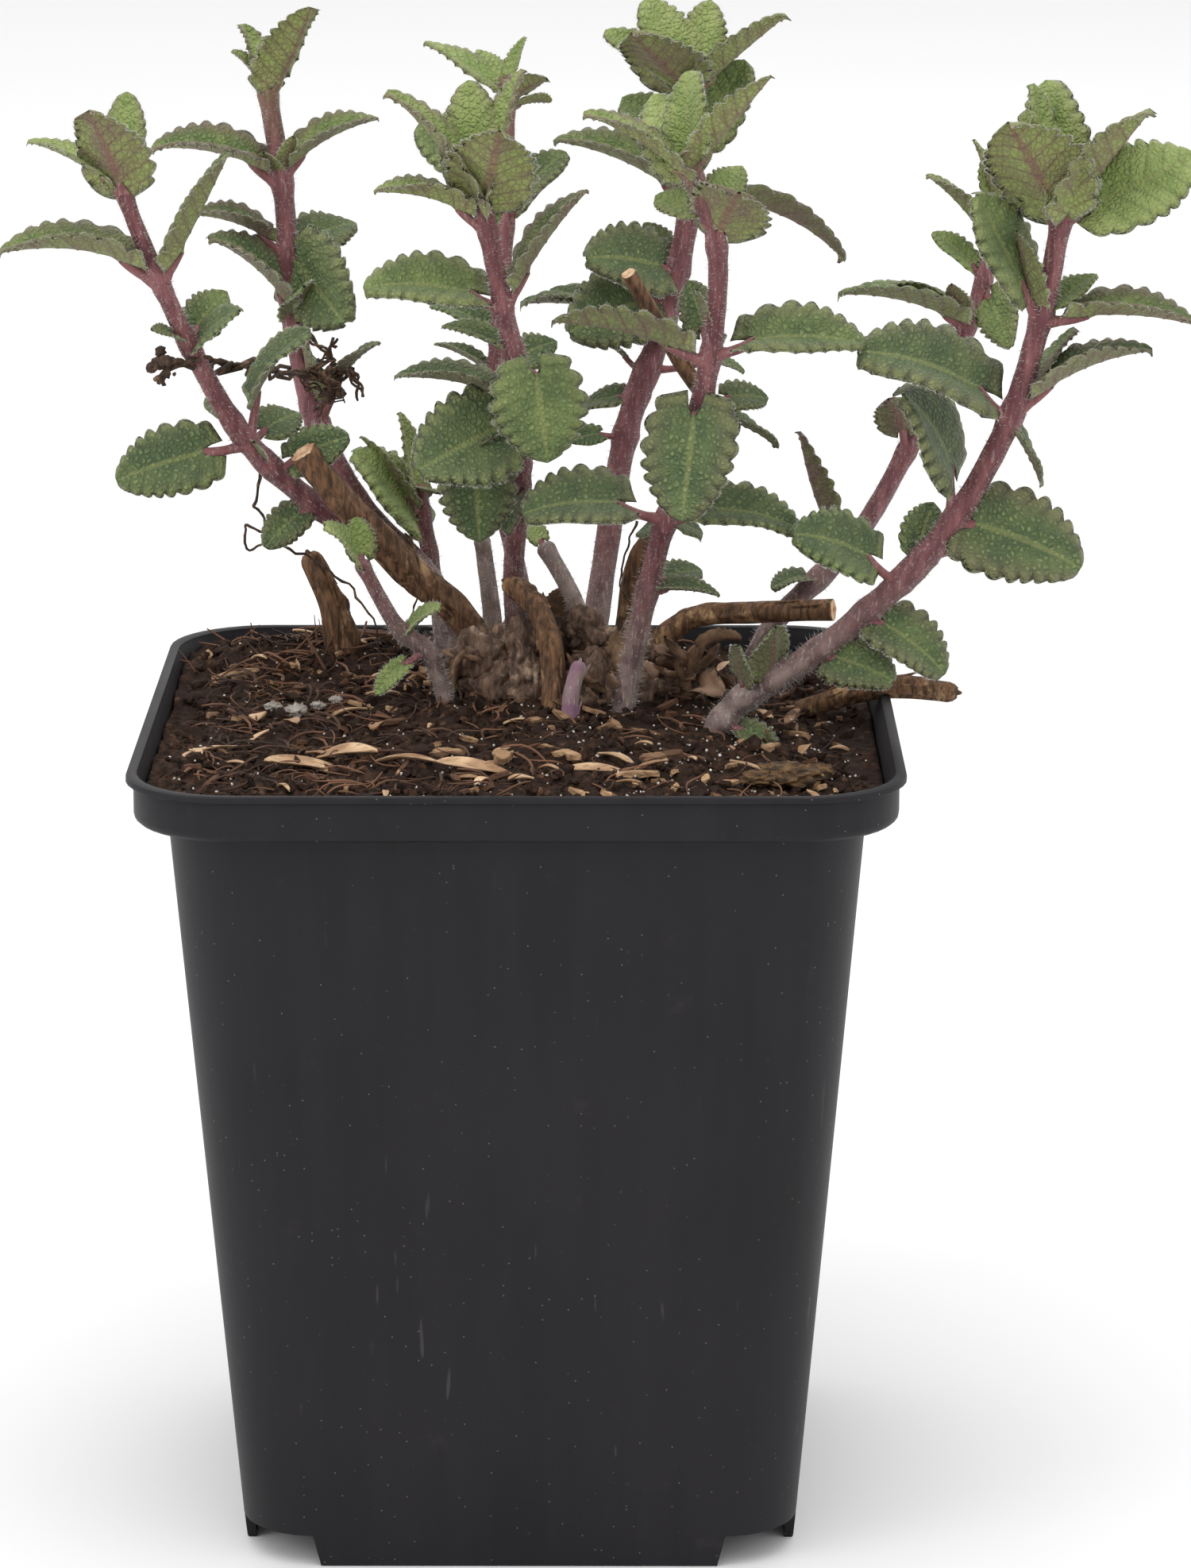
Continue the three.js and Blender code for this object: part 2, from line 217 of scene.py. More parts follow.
# Each lamp: where it stands, in metres from the pot, its width and its power.
LAMPS = {
    "lamp_over": ((-0.1, -0.25, 1.25), 1.2, 6),
    "lamp_left": ((-1.1, -0.75, 0.75), 0.6, 2.6),
    "lamp_right": ((1.1, -0.7, 0.7), 0.9, 1.2),
    "lamp_front": ((0.1, -1.5, 0.9), 1.0, 1),
    "lamp_behind": ((0.3, 1.1, 0.9), 1.0, 1.5),
}
for name, (place, width, power) in LAMPS.items():
    lamp_data = bpy.data.lights.new(name, "AREA")
    lamp_data.size = width
    lamp_data.energy = power
    lamp = bpy.data.objects.new(name, lamp_data)
    lamp.location = place
    lamp.rotation_euler = (at(0, 0, 90) - Vector(place)).to_track_quat("-Z", "Y").to_euler()
    bpy.context.scene.collection.objects.link(lamp)

world = bpy.data.worlds.new("studio")
world.use_nodes = True
world.node_tree.nodes["Background"].inputs["Color"].default_value = (1, 1, 1, 1)
world.node_tree.nodes["Background"].inputs["Strength"].default_value = 1
bpy.context.scene.world = world
bpy.context.scene.view_settings.view_transform = "Standard"

# ---- The pot ----
# A thin injection-moulded nursery pot of charcoal polypropylene: a tapering square box
# with a stepped band and a lip, a raised floor with drain holes, and four foot tabs.
POT_HEIGHT = (POT_HIGH.z - POT_LOW.z) / MM
LIP_HALF = (POT_HIGH.x - POT_LOW.x) / 2 / MM
LIP_TALL = 0.9
LIP_WIDE = 1.3
BAND_HALF = 44.2
BAND_TALL = 5.8
BODY_TOP_HALF = 40.6
BODY_FOOT_HALF = 33.05
WALL = 1.1
CORNER_AT_LIP = 12
CORNER_AT_FOOT = 9
FOOT_TALL = 4.3
FLOOR_THICK = 1.2
TAB_HALF_LENGTH = 23.4
TAB_SLANT = 1.2
DRAIN_RADIUS = 4
DRAIN_OUT = 20


def body_half(height):
    """Half the width of the pot's outer wall below the band, at a height."""
    share = height / (POT_HEIGHT - BAND_TALL)
    return BODY_FOOT_HALF + (BODY_TOP_HALF - BODY_FOOT_HALF) * share


def squared_ring(half, height, corner, arc_steps=10, side_steps=12):
    """Points round a square with round corners, ending where they began."""
    corner = min(corner, half)
    flat = half - corner
    quarter = []
    for step in range(arc_steps + 1):
        turn = math.pi / 2 * step / arc_steps
        quarter.append((flat + corner * math.cos(turn), flat + corner * math.sin(turn)))
    for step in range(1, side_steps):
        quarter.append((flat - 2 * flat * step / side_steps, half))
    ring = []
    for turn in range(4):
        for x, y in quarter:
            for _ in range(turn):
                x, y = -y, x
            ring.append((x, y, height))
    return ring + ring[:1]


def skin(bm, rings, marks=None):
    """Rolls a grid into a closed tube through rings of places, in millimetres.

    Each ring ends where it began. The seam is welded and open ends are filled. Marks
    are values for the vertex layers, ring by ring. Returns the faces, row by row.
    """
    rings = np.asarray(rings, float)
    rows, columns = rings.shape[:2]
    grid = bmesh.ops.create_grid(bm, x_segments=columns - 1, y_segments=rows - 1, size=1)
    places = to_frame(rings.reshape(-1, 3))
    for vert, place in zip(grid["verts"], places):
        vert.co = place
    for layer, values in (marks or {}).items():
        for vert, value in zip(grid["verts"], np.asarray(values, float).reshape(-1, 3)):
            vert[layer] = value
    faces = list({face: None for vert in grid["verts"] for face in vert.link_faces})
    edges = {edge for face in faces for edge in face.edges}
    bmesh.ops.remove_doubles(bm, verts=grid["verts"], dist=1e-7)
    open_edges = [edge for edge in edges if edge.is_valid and edge.is_boundary]
    if open_edges:
        bmesh.ops.holes_fill(bm, edges=open_edges)
    return faces


BAND_FOOT = POT_HEIGHT - BAND_TALL
LIP_FOOT = POT_HEIGHT - LIP_TALL
FLOOR_TOP = FOOT_TALL + FLOOR_THICK
pot_profile = [
    (0, FOOT_TALL),
    (body_half(FOOT_TALL) - WALL - 0.3, FOOT_TALL),
    (body_half(FOOT_TALL) - WALL, FOOT_TALL - 0.3),
    (body_half(0) - WALL, 0.15),
    (body_half(0) - WALL + 0.15, 0),
    (body_half(0) - 0.2, 0),
    (body_half(0), 0.2),
    (body_half(FOOT_TALL), FOOT_TALL),
    (body_half(30), 30),
    (body_half(60), 60),
    (body_half(BAND_FOOT) - 0.1, BAND_FOOT - 1),
    (body_half(BAND_FOOT), BAND_FOOT - 0.15),
    (body_half(BAND_FOOT) + 0.15, BAND_FOOT),
    (BAND_HALF - 1.2, BAND_FOOT + 0.05),
    (BAND_HALF - 0.5, BAND_FOOT + 0.25),
    (BAND_HALF - 0.12, BAND_FOOT + 0.7),
    (BAND_HALF, BAND_FOOT + 1.3),
    (BAND_HALF, LIP_FOOT - 0.15),
    (BAND_HALF + 0.15, LIP_FOOT),
    (LIP_HALF - 0.15, LIP_FOOT + 0.05),
    (LIP_HALF, LIP_FOOT + 0.2),
    (LIP_HALF, POT_HEIGHT - 0.3),
    (LIP_HALF - 0.1, POT_HEIGHT - 0.08),
    (LIP_HALF - 0.35, POT_HEIGHT),
    (LIP_HALF - LIP_WIDE + 0.35, POT_HEIGHT),
    (LIP_HALF - LIP_WIDE + 0.1, POT_HEIGHT - 0.15),
    (LIP_HALF - LIP_WIDE, POT_HEIGHT - 0.6),
    (BAND_HALF - WALL, POT_HEIGHT - 1.6),
    (BAND_HALF - WALL, BAND_FOOT + 1.6),
    (BAND_HALF - WALL - 0.5, BAND_FOOT + 0.6),
    (body_half(BAND_FOOT) - WALL + 0.4, BAND_FOOT - 0.6),
    (body_half(BAND_FOOT) - WALL, BAND_FOOT - 1.2),
    (body_half(60) - WALL, 60),
    (body_half(30) - WALL, 30),
    (body_half(FLOOR_TOP) - WALL, FLOOR_TOP + 0.5),
    (body_half(FLOOR_TOP) - WALL - 0.5, FLOOR_TOP),
    (0, FLOOR_TOP),
]


def corner_at(height):
    return CORNER_AT_FOOT + (CORNER_AT_LIP - CORNER_AT_FOOT) * height / POT_HEIGHT


pot_mesh = bmesh.new()
skin(pot_mesh, [squared_ring(half, height, corner_at(height)) for half, height in pot_profile])

# The notches between the foot tabs and the drain holes are cut out of the moulding.
cutters = bmesh.new()
for side_x in (-1, 1):
    for side_y in (-1, 1):
        block = bmesh.ops.create_cube(cutters, size=1)
        for vert in block["verts"]:
            top = vert.co.z > 0
            inner = TAB_HALF_LENGTH + (TAB_SLANT if top else 0)
            x = inner if vert.co.x * side_x < 0 else BODY_TOP_HALF
            y = inner if vert.co.y * side_y < 0 else BODY_TOP_HALF
            vert.co = at(side_x * x, side_y * y, FOOT_TALL - 0.3 if top else -1)
for hole in range(8):
    out = DRAIN_OUT * (1 if hole % 2 == 0 else 1.2)
    middle = at(out * math.cos(hole * math.pi / 4), out * math.sin(hole * math.pi / 4), FOOT_TALL)
    bmesh.ops.create_cone(
        cutters, cap_ends=True, segments=24, radius1=DRAIN_RADIUS * MM, radius2=DRAIN_RADIUS * MM,
        depth=4 * FLOOR_THICK * MM, matrix=Matrix.Translation(middle))
bmesh.ops.recalc_face_normals(cutters, faces=cutters.faces[:])
bmesh.ops.recalc_face_normals(pot_mesh, faces=pot_mesh.faces[:])


def loose_object(name, bm):
    """An object that only lends its mesh to a cut, and is deleted after it."""
    mesh = bpy.data.meshes.new(name)
    bm.to_mesh(mesh)
    bm.free()
    made = bpy.data.objects.new(name, mesh)
    bpy.context.scene.collection.objects.link(made)
    return made


pot_blank = loose_object("pot_blank", pot_mesh)
pot_cutter = loose_object("pot_cutter", cutters)
cut = pot_blank.modifiers.new("cut", "BOOLEAN")
cut.operation = "DIFFERENCE"
cut.solver = "EXACT"
cut.object = pot_cutter
bpy.context.view_layer.update()
cut_mesh = bpy.data.meshes.new_from_object(
    pot_blank.evaluated_get(bpy.context.evaluated_depsgraph_get()))
pot_mesh = bmesh.new()
pot_mesh.from_mesh(cut_mesh)
for spare in (pot_blank, pot_cutter):
    bpy.data.objects.remove(spare)

plastic = Finish("charcoal_plastic", roughness=0.46, specular_ior_level=0.22)
place = plastic.object_place()
height_share = plastic.part_of(place, "Z") / (POT_HEIGHT * MM)
cloudy = plastic.noise(place, 35, 4)
streaks = plastic.noise(plastic.mapped(place, (260, 260, 14)), 1, 3)
tone = plastic.blend(
    plastic.fade(cloudy * 0.6 + streaks * 0.4, 0.35, 0.65),
    colour(23, 21, 24), colour(29, 27, 31))
speck_room = plastic.cells(place, 1300)
speck_chance = plastic.part_of(plastic.cells(place, 1300, output="Color"), "X")
specks = (1 - plastic.fade(speck_room, 0.05, 0.16)) * plastic.fade(
    speck_chance + 0.1 * (1 - height_share), 0.86, 0.92)
dust = plastic.fade(plastic.noise(place, 160, 6, 0.7), 0.6, 0.8) * 0.35
scratch_lines = plastic.noise(plastic.mapped(place, (700, 700, 60), (0.5, 0.3, 0.2)), 1, 2)
scratches = plastic.fade(scratch_lines, 0.7, 0.76) * (1 - height_share) * 0.5
worn = plastic.blend(specks * 0.4 + scratches * 0.25, tone, colour(150, 144, 138))
plastic.feed("Base Color", plastic.blend(dust * 0.25, worn, colour(105, 98, 92)))
plastic.feed("Roughness", 0.4 + 0.22 * cloudy + 0.2 * dust)
plastic.relief(plastic.noise(place, 2600, 3) * 0.5 + plastic.noise(place, 420, 2) * 0.5, 0.05, 0.5)
pot = piece("pot_shell", pot_mesh, [plastic])
pot.data.set_sharp_from_angle(angle=math.radians(40))
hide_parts("pot")

# ---- The potting mix ----
# Dark damp mix of peat, composted bark and sand, tipped in loose and settled into a low
# mound round the crown. It has sunk away from the right-hand wall.
GAP = 0.3
SOIL_TOP = 96.2
SOIL_RISE = 2.2
SOIL_DROP_RIGHT = 1.9
SOIL_SHOULDER = 93.7
HEAP_RISE = 3
SOIL_CELLS = 165
random.seed(11)


def soft_step(value, start, end):
    share = min(1, max(0, (value - start) / (end - start)))
    return share * share * (3 - 2 * share)


def soil_level(x, y):
    """The smooth height of the mix in millimetres, before its lumps."""
    mound = SOIL_RISE * math.exp(-((x - 3) ** 2 + (y - 12) ** 2) / 500)
    heap = HEAP_RISE * math.exp(-((x + 27) ** 2 / 160 + (y - 30) ** 2 / 80))
    return SOIL_TOP + mound + heap - SOIL_DROP_RIGHT * soft_step(x, 12, 40)


def soil_lumps(x, y):
    """Lumps and pits of the loose top, in millimetres."""
    coarse = noise.noise(Vector((x / 9, y / 9, 3)))
    middle = noise.noise(Vector((x / 3.2, y / 3.2, 7)))
    fine = noise.noise(Vector((x / 1.1, y / 1.1, 1)))
    grit = noise.noise(Vector((x / 0.55, y / 0.55, 5)))
    return 1.1 * coarse + 1.1 * abs(middle) + 0.75 * fine + 0.35 * grit - 0.6


def soil_surface(x, y):
    return soil_level(x, y) + soil_lumps(x, y)


soil_mesh = bmesh.new()
SOIL_HALF = BAND_HALF - WALL - GAP
bmesh.ops.create_grid(soil_mesh, x_segments=SOIL_CELLS, y_segments=SOIL_CELLS, size=1)
corner_share = (CORNER_AT_LIP - WALL) / SOIL_HALF
for vert in soil_mesh.verts:
    # Pull the square's corners in to the pot's round ones.
    x, y = vert.co.x, vert.co.y
    over_x = max(0, abs(x) - (1 - corner_share))
    over_y = max(0, abs(y) - (1 - corner_share))
    far = max(over_x, over_y)
    if min(over_x, over_y) > 0:
        pull = far / math.hypot(over_x, over_y)
        x = math.copysign(1 - corner_share + over_x * pull, x)
        y = math.copysign(1 - corner_share + over_y * pull, y)
    x *= SOIL_HALF
    y *= SOIL_HALF
    vert.co = at(x, y, max(SOIL_SHOULDER + 0.1, soil_surface(x, y)))
half = SOIL_HALF
for next_half, level in (
        (SOIL_HALF, SOIL_SHOULDER), (body_half(BAND_FOOT) - WALL - 2 * GAP, BAND_FOOT - 1),
        (body_half(FLOOR_TOP) - WALL - GAP, FLOOR_TOP + GAP)):
    rim = [edge for edge in soil_mesh.edges if edge.is_boundary]
    skirt = bmesh.ops.extrude_edge_only(soil_mesh, edges=rim)
    for element in skirt["geom"]:
        if isinstance(element, bmesh.types.BMVert):
            middle = (element.co - POT_FOOT) / MM * next_half / half
            element.co = at(middle.x, middle.y, level)
    half = next_half
bmesh.ops.holes_fill(soil_mesh, edges=[e for e in soil_mesh.edges if e.is_boundary])

mix = Finish("damp_mix", roughness=0.95, specular_ior_level=0.25)
place = mix.object_place()
peat = mix.noise(place, 700, 6, 0.65)
patches = mix.noise(place, 90, 3)
flecks = mix.cells(place, 1300, output="Color")
dark_peat = mix.blend(mix.fade(peat, 0.35, 0.7), colour(22, 14, 9), colour(82, 58, 44))
mixed = mix.blend(mix.fade(patches, 0.4, 0.65), dark_peat, colour(47, 32, 25))
fleck = mix.fade(mix.part_of(flecks, "X"), 0.93, 0.96) * mix.fade(peat, 0.45, 0.6)
mix.feed("Base Color", mix.blend(fleck * 0.6, mixed, colour(120, 92, 70)))
mix.relief(mix.noise(place, 1500, 5, 0.7), 0.5, 0.9)
soil = piece("potting_mix", soil_mesh, [mix])
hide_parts("potting_soil")

# ---- What lies loose on the mix ----
# Crumbs of peat, reddish coir fibres, pale sharp sand and shreds of composted bark, all
# lying where they fell when the pot was filled and watered.


def jittered(bm, amount):
    """Pushes a small shape's corners about, in its own size."""
    for vert in bm.verts:
        vert.co += Vector([random.uniform(-1, 1) for _ in range(3)]) * amount
    return bm


def as_mesh(bm):
    mesh = bpy.data.meshes.new("shape")
    bm.to_mesh(mesh)
    bm.free()
    return mesh


def strew(shape, matrices):
    """A bmesh of many copies of one small shape, each put down by its own matrix."""
    heap = bmesh.new()
    rest = np.array([corner.co for corner in shape.vertices])
    for matrix in matrices:
        turn = np.array(matrix.to_3x3())
        placed = rest @ turn.T + np.array(matrix.translation)
        shape.vertices.foreach_set("co", placed.ravel())
        heap.from_mesh(shape)
    bpy.data.meshes.remove(shape)
    return heap


def any_turn():
    return Euler([random.uniform(0, 2 * math.pi) for _ in range(3)]).to_quaternion()


def lying(x, y, lift, sizes, heading=None, tilt=12):
    """The matrix that lays a shape on the mix: its middle, its lift and its three sizes, in mm."""
    heading = random.uniform(0, 360) if heading is None else heading
    turn = Euler((
        math.radians(random.uniform(-tilt, tilt)), math.radians(random.uniform(-tilt, tilt)),
        math.radians(heading)))
    spot = at(x, y, soil_surface(x, y) + lift)
    return Matrix.LocRotScale(spot, turn.to_quaternion(), Vector(sizes) * MM)


def anywhere(margin=1.5):
    """A random spot on the mix, clear of the wall and outside the round corners."""
    reach = SOIL_HALF - margin
    while True:
        x, y = random.uniform(-reach, reach), random.uniform(-reach, reach)
        inset = reach - CORNER_AT_LIP
        from_corner = math.hypot(abs(x) - inset, abs(y) - inset)
        if abs(x) < inset or abs(y) < inset or from_corner < CORNER_AT_LIP:
            return x, y


def crumb_shape(amount):
    bm = bmesh.new()
    bmesh.ops.create_icosphere(bm, subdivisions=1, radius=0.5)
    return as_mesh(jittered(bm, amount))


CRUMBS = 2700
crumb_places = []
for _ in range(CRUMBS):
    x, y = anywhere()
    size = random.uniform(0.45, 1.3) * random.choice((0.7, 0.8, 1, 1.6))
    sizes = [size * random.uniform(0.6, 1.2) for _ in range(3)]
    crumb_places.append(Matrix.LocRotScale(
        at(x, y, soil_surface(x, y) + 0.15 * size), any_turn(), Vector(sizes) * MM))
crumbs = piece("peat_crumbs", strew(crumb_shape(0.16), crumb_places), [mix], smooth=False)

sand = Finish("sharp_sand", roughness=0.5)
grain_tone = sand.part_of(sand.cells(sand.object_place(), 500, output="Color"), "X")
sand.feed("Base Color", sand.blend(grain_tone, colour(172, 160, 146), colour(238, 232, 224)))
SAND_GRAINS = 1500
grain_places = []
for _ in range(SAND_GRAINS):
    x, y = anywhere()
    if random.random() < 0.35 + 0.65 * soft_step(x, -25, 15) * soft_step(-y, -20, 5):
        size = random.uniform(0.2, 0.42)
        grain_places.append(Matrix.LocRotScale(
            at(x, y, soil_surface(x, y) + 0.12), any_turn(), Vector((size, size, size)) * MM))
grains = piece("sand_grains", strew(crumb_shape(0.12), grain_places), [sand], smooth=False)


def thread_rings(points, radii, sides):
    """Rings of a thin round tube along points, in millimetres."""
    points = [Vector(point) for point in points]
    rings = []
    across = Vector((0.3, 0.5, 0.81)).normalized()
    for index, point in enumerate(points):
        ahead = points[min(index + 1, len(points) - 1)] - points[max(index - 1, 0)]
        ahead.normalize()
        across = (across - ahead * across.dot(ahead)).normalized()
        other = ahead.cross(across)
        radius = radii[index]
        rings.append([
            tuple(point + (across * math.cos(turn) + other * math.sin(turn)) * radius)
            for turn in (2 * math.pi * side / sides for side in range(sides + 1))])
    return rings


fibre = Finish("coir_fibre", roughness=0.8)
fibre_tone = fibre.noise(fibre.object_place(), 120, 2)
fibre.feed("Base Color", fibre.blend(
    fibre.fade(fibre_tone, 0.35, 0.65), colour(52, 33, 23), colour(122, 84, 60)))


def fibre_shape():
    """A bent thread one unit long, in units, with three sides."""
    bend = random.uniform(0.05, 0.3)
    points = [
        (t - 0.5, bend * math.sin(math.pi * t), 0.06 * math.sin(5 * t))
        for t in np.linspace(0, 1, 7)]
    bm = bmesh.new()
    skin(bm, thread_rings(points, [0.02, 0.03, 0.03, 0.028, 0.025, 0.02, 0.01], 3))
    for vert in bm.verts:
        vert.co = (vert.co - POT_FOOT) / MM
    return as_mesh(bm)


FIBRE_SHAPES = 6
FIBRES_EACH = 170
fibre_heap = bmesh.new()
for _ in range(FIBRE_SHAPES):
    places = []
    for _ in range(FIBRES_EACH):
        x, y = anywhere(5)
        if random.random() < 0.25 + 0.75 * soft_step(-x, -12, 25):
            length = random.uniform(2, 8)
            places.append(lying(x, y, 0.45, (length, length, length * 0.8), tilt=25))
    batch_mesh = as_mesh(strew(fibre_shape(), places))
    fibre_heap.from_mesh(batch_mesh)
fibres = piece("coir_fibres", fibre_heap, [fibre])

# Stiff broken straws stand out of the heap at the back left.
STRAWS = 70
straw_heap = bmesh.new()
for _ in range(STRAWS):
    foot = Vector((random.gauss(-27, 8), random.gauss(29, 6), 0))
    foot.x, foot.y = max(-41, min(foot.x, 0)), max(-38, min(foot.y, 41))
    foot.z = soil_surface(foot.x, foot.y) - 0.5
    lean = Vector((random.uniform(-1, 1), random.uniform(-1, 0.6), random.uniform(0.1, 1)))
    lean.normalize()
    length = random.uniform(2, 6.5)
    drift = Vector((noise.noise(foot), noise.noise(foot * 1.3), -0.07 * length))
    points = [foot + lean * (length * step / 5) + drift * (step / 5) ** 2 for step in range(6)]
    thick = random.uniform(0.12, 0.3)
    skin(straw_heap, thread_rings(points, [thick * (1 - 0.12 * i) for i in range(6)], 4))
straws = piece("broken_straws", straw_heap, [fibre])

# Bark shreds: the larger ones each in their place, then many small splinters.
bark = Finish("bark_shred", roughness=0.85)
place = bark.object_place()
grain = bark.noise(bark.mapped(place, (500, 1100, 1100)), 1, 5, 0.6)
shade = bark.part_of(bark.cells(place, 90, output="Color"), "X")
bark_tone = bark.blend(bark.fade(shade, 0.3, 1.0), colour(92, 62, 42), colour(186, 150, 112))
bark.feed("Base Color", bark.blend(
    bark.fade(grain, 0.45, 0.62) * 0.65, bark_tone, colour(88, 56, 36)))
bark.relief(grain, 0.4, 1)


def shred_shape(bend, taper):
    """A split of bark one unit long and wide: thin, a little bent, narrower at one end."""
    bm = bmesh.new()
    bmesh.ops.create_cube(bm, size=1)
    long_edges = [e for e in bm.edges if abs((e.verts[0].co - e.verts[1].co).x) > 0.5]
    bmesh.ops.subdivide_edges(bm, edges=long_edges, cuts=4)
    wide_edges = [e for e in bm.edges if abs((e.verts[0].co - e.verts[1].co).y) > 0.5]
    bmesh.ops.subdivide_edges(bm, edges=wide_edges, cuts=2)
    split = random.uniform(-1, 1)
    for vert in bm.verts:
        share = vert.co.x + 0.5
        narrow = 1 - taper * abs(2 * share - 1) ** 2.2
        row = round(vert.co.y * 3)
        vert.co.x *= 1 + 0.22 * math.sin(3.1 * row + 5 * split)
        swung = vert.co.y + 0.12 * split * math.sin(4 * share)
        vert.co.y = swung * narrow * random.uniform(0.85, 1.1)
        vert.co.z += bend * math.sin(math.pi * share) - 0.8 * abs(vert.co.y) ** 2
        vert.co.z += random.uniform(-0.22, 0.22)
    return as_mesh(bm)


# Middle, heading, length, width and thickness of each large husk and shred.
LARGE_HUSKS = [
    (-24.5, -24, 12, 10.5, 3.6, 1.1), (-20, -21.5, -22, 8, 3.2, 1.3),
    (-13, -24.5, -15, 7.5, 3, 1), (-5, -26.5, -8, 9, 2.6, 0.9), (-35.5, -14, 28, 7.5, 3, 1),
    (-31.5, -3, 80, 2.6, 2.2, 2.4), (-27.5, -5, 115, 4.5, 1.6, 0.8), (-17, -7.5, 80, 6, 1.6, 1.2),
    (9, -25, -25, 8, 2, 1),
]
LARGE_SHREDS = [
    (5.5, -19.5, -60, 5.5, 1.8, 1), (14, -28.5, 12, 6.5, 2.4, 0.9),
    (-1.5, -22.5, 75, 3.4, 2.2, 1.2), (21, -18, -30, 7, 1.4, 0.8), (29, -13, 35, 6, 1.6, 0.8),
    (-38, 4, 60, 5, 1.4, 0.8), (17, -21, 40, 5, 1.6, 0.9), (-9, -17, -20, 5, 1.5, 0.9),
    (-36, 22, 20, 7, 2, 1), (30, 24, -35, 8, 2.2, 1), (12, 33, 10, 7, 2.4, 1),
    (-18, 34, -20, 8, 2, 1), (33, 5, 75, 5, 1.6, 0.9),
]
shred_heap = bmesh.new()
for x, y, heading, length, width, thick in LARGE_SHREDS:
    one = strew(
        shred_shape(0.5, 0.55), [lying(x, y, 0.35, (length, width * 0.9, thick * 0.7), heading, 9)])
    shred_heap.from_mesh(as_mesh(one))
shreds = piece("bark_shreds", shred_heap, [bark], smooth=False)

# Pale husks of straw and bark, split lengthwise and cupped, pointed at both ends.
husk = Finish("pale_husk", roughness=0.6)
place = husk.object_place()
husk_grain = husk.noise(husk.mapped(place, (700, 1500, 1500)), 1, 4, 0.6)
husk_tone = husk.noise(place, 180, 2)
husk_pale = husk.blend(
    husk.fade(husk_tone, 0.35, 0.65), colour(150, 112, 78), colour(214, 180, 142))
husk.feed("Base Color", husk.blend(
    husk.fade(husk_grain, 0.5, 0.68) * 0.6, husk_pale, colour(96, 66, 44)))
husk.relief(husk_grain, 0.25, 0.9)
husk_heap = bmesh.new()
SMALL_HUSKS = 46
small_husks = []
for _ in range(SMALL_HUSKS):
    x, y = anywhere(4)
    length = random.uniform(2, 5.5)
    small_husks.append(
        (x, y, random.uniform(0, 180), length, length * random.uniform(0.14, 0.34), 1))
for x, y, heading, length, width, thick in LARGE_HUSKS + small_husks:
    rings = []
    own_bend = random.uniform(0.1, 0.5)
    for share in np.linspace(0, 1, 17):
        belly = width / 2 * math.sin(math.pi * min(1, share + 0.001) ** 0.8) ** 0.7 + 0.03
        ring = []
        for turn in np.linspace(0, 2 * math.pi, 15):
            side = belly * math.cos(turn)
            cup = 0.28 * side * side / max(belly, 0.2) + own_bend * math.sin(math.pi * share)
            rise = 0.16 * thick * math.sin(turn) * (1 + 0.3 * math.sin(7 * turn))
            ring.append(((share - 0.5) * length, side, cup + rise))
        rings.append(ring)
    one = bmesh.new()
    skin(one, rings)
    for vert in one.verts:
        vert.co = (vert.co - POT_FOOT) / MM
    turned = lying(x, y, 0.55, (1, 1, 1), heading, 14)
    husk_heap.from_mesh(as_mesh(strew(as_mesh(one), [turned])))
husks = piece("pale_husks", husk_heap, [husk])
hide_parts("bark_chip_1", "bark_chip_2")

SPLINTERS = 190
splinter_places = []
for _ in range(SPLINTERS):
    x, y = anywhere(3)
    length = random.uniform(0.8, 3.2)
    splinter_places.append(lying(x, y, 0.35, (length, random.uniform(0.4, 1.1), 0.45), tilt=30))
splinters = piece(
    "bark_splinters", strew(shred_shape(0.3, 0.8), splinter_places), [bark], smooth=False)

# A clod of broken leaf litter at the right front edge, and tufts of lint at the left.
leaf_mould = Finish("leaf_mould", roughness=0.9)
place = leaf_mould.object_place()
mould_layers = leaf_mould.noise(leaf_mould.mapped(place, (600, 900, 1800)), 1, 5, 0.65)
mould_tone = leaf_mould.blend(
    leaf_mould.fade(mould_layers, 0.35, 0.65), colour(48, 34, 22), colour(122, 92, 58))
leaf_mould.feed("Base Color", mould_tone)
leaf_mould.relief(mould_layers, 0.6, 1)
litter_mesh = bmesh.new()
for x, y, wide, tall in ((31.5, -24.5, 8, 2.6), (28, -27, 4, 1.8), (35, -22, 4, 2)):
    ball = bmesh.ops.create_icosphere(litter_mesh, subdivisions=4, radius=0.5)
    for vert in ball["verts"]:
        lump = 1 + 0.45 * noise.noise(vert.co * 5 + Vector((x, y, 0)))
        lump += 0.18 * noise.noise(vert.co * 16)
        vert.co = at(
            x + vert.co.x * wide * lump, y + vert.co.y * wide * 0.8 * lump,
            soil_level(x, y) + 0.6 + vert.co.z * tall * lump)
litter = piece("litter_clod", litter_mesh, [leaf_mould])

lint = Finish("pale_lint", roughness=0.95)
lint.feed("Base Color", lint.blend(
    lint.noise(lint.object_place(), 900, 4), colour(92, 82, 74), colour(206, 198, 188)))
lint.relief(lint.noise(lint.object_place(), 2200, 4), 0.4, 0.8)
lint_mesh = bmesh.new()
for x, y, size in ((-27, -1.5, 3.2), (-24.5, 0.5, 2.2), (-30, 1, 2.6), (-22.5, 3, 2)):
    ball = bmesh.ops.create_icosphere(lint_mesh, subdivisions=3, radius=0.5)
    for vert in ball["verts"]:
        lump = 0.7 + 0.8 * noise.noise(vert.co * 9 + Vector((x, y, 2)))
        vert.co = at(
            x + vert.co.x * size * lump, y + vert.co.y * size * lump,
            soil_level(x, y) + 1.2 + vert.co.z * size * 0.55 * lump)
lint_tufts = piece("lint_tufts", lint_mesh, [lint])

